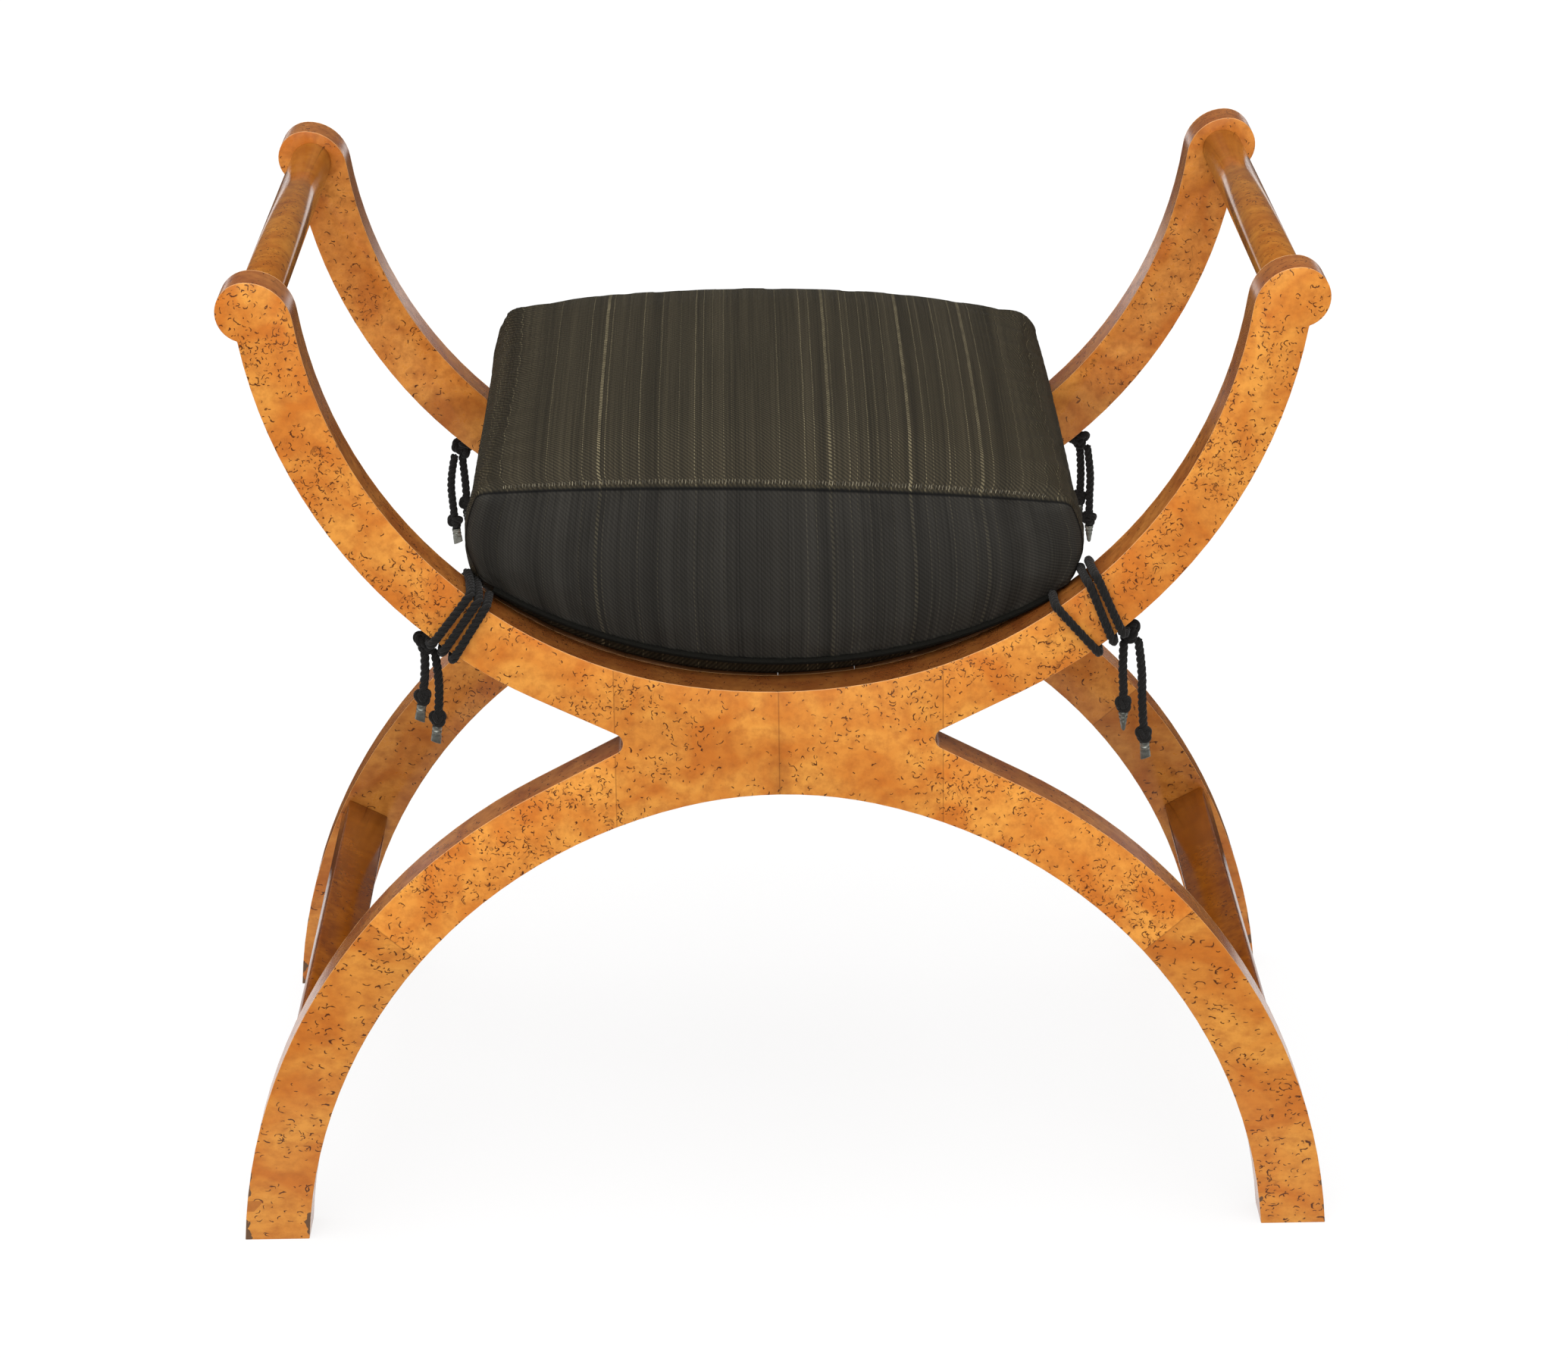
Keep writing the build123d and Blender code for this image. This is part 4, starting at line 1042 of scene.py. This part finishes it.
# The backdrop only closes the picture above the floor, and throws no light on the stool.
bm = bmesh.new()
bmesh.ops.create_uvsphere(bm, u_segments=32, v_segments=16, radius=backdrop_radius)
backdrop = stage_piece("white_backdrop", bm, grey=0.0, glow=1.0)
backdrop.visible_diffuse = False
backdrop.visible_glossy = False
backdrop.visible_shadow = False

# Black cards before and behind keep the glare of the floor off the polish, and do nothing else.
for end, middle in (("front", -card_distance), ("back", card_distance)):
    bm = bmesh.new()
    bmesh.ops.create_grid(bm, x_segments=1, y_segments=1, size=1.0)
    bmesh.ops.scale(bm, vec=(card_half_width, card_half_depth, 1.0), verts=bm.verts)
    bmesh.ops.translate(bm, vec=(0.0, middle, card_height), verts=bm.verts)
    card = stage_piece(f"{end}_card", bm, grey=0.02, glow=0.0)
    card.visible_camera = False
    card.visible_diffuse = False
    card.visible_shadow = False

world = bpy.data.worlds.new("studio")
scene.world = world
world.use_nodes = True
sky = world.node_tree.nodes["Background"]
sky.inputs["Color"].default_value = (1.0, 1.0, 1.0, 1.0)
sky.inputs["Strength"].default_value = 0.1


def wide_light(name, tilt, lean, spread, power):
    """A wide soft light at a tilt from overhead towards the front, like a studio ceiling of cloth."""
    light = bpy.data.lights.new(name, "SUN")
    light.energy = power
    light.angle = math.radians(spread)
    lamp = bpy.data.objects.new(name, light)
    lamp.rotation_euler = (math.radians(tilt), math.radians(lean), 0.0)
    scene.collection.objects.link(lamp)


wide_light("ceiling", tilt=20, lean=-6, spread=110, power=4.0)
wide_light("front_screen", tilt=60, lean=-4, spread=50, power=0.8)
scene.view_settings.view_transform = "Standard"

# The camera stands 3 m in front of the stool, a little above it, and looks down on the seat.
camera_place = Vector((-0.0181, -3.0517, 1.3366))
camera_yaw = math.radians(0.442)
camera_pitch = math.radians(18.721)
camera_roll = math.radians(-0.746)
camera_data = bpy.data.cameras.new("camera")
camera_data.sensor_fit = "HORIZONTAL"
camera_data.sensor_width = 36.0
camera_data.lens = 108.23
camera = bpy.data.objects.new("camera", camera_data)
turn = Matrix.Rotation(-camera_yaw, 4, "Z") @ Matrix.Rotation(math.pi / 2 - camera_pitch, 4, "X")
camera.matrix_world = Matrix.Translation(camera_place) @ turn @ Matrix.Rotation(camera_roll, 4, "Z")
scene.collection.objects.link(camera)
scene.camera = camera
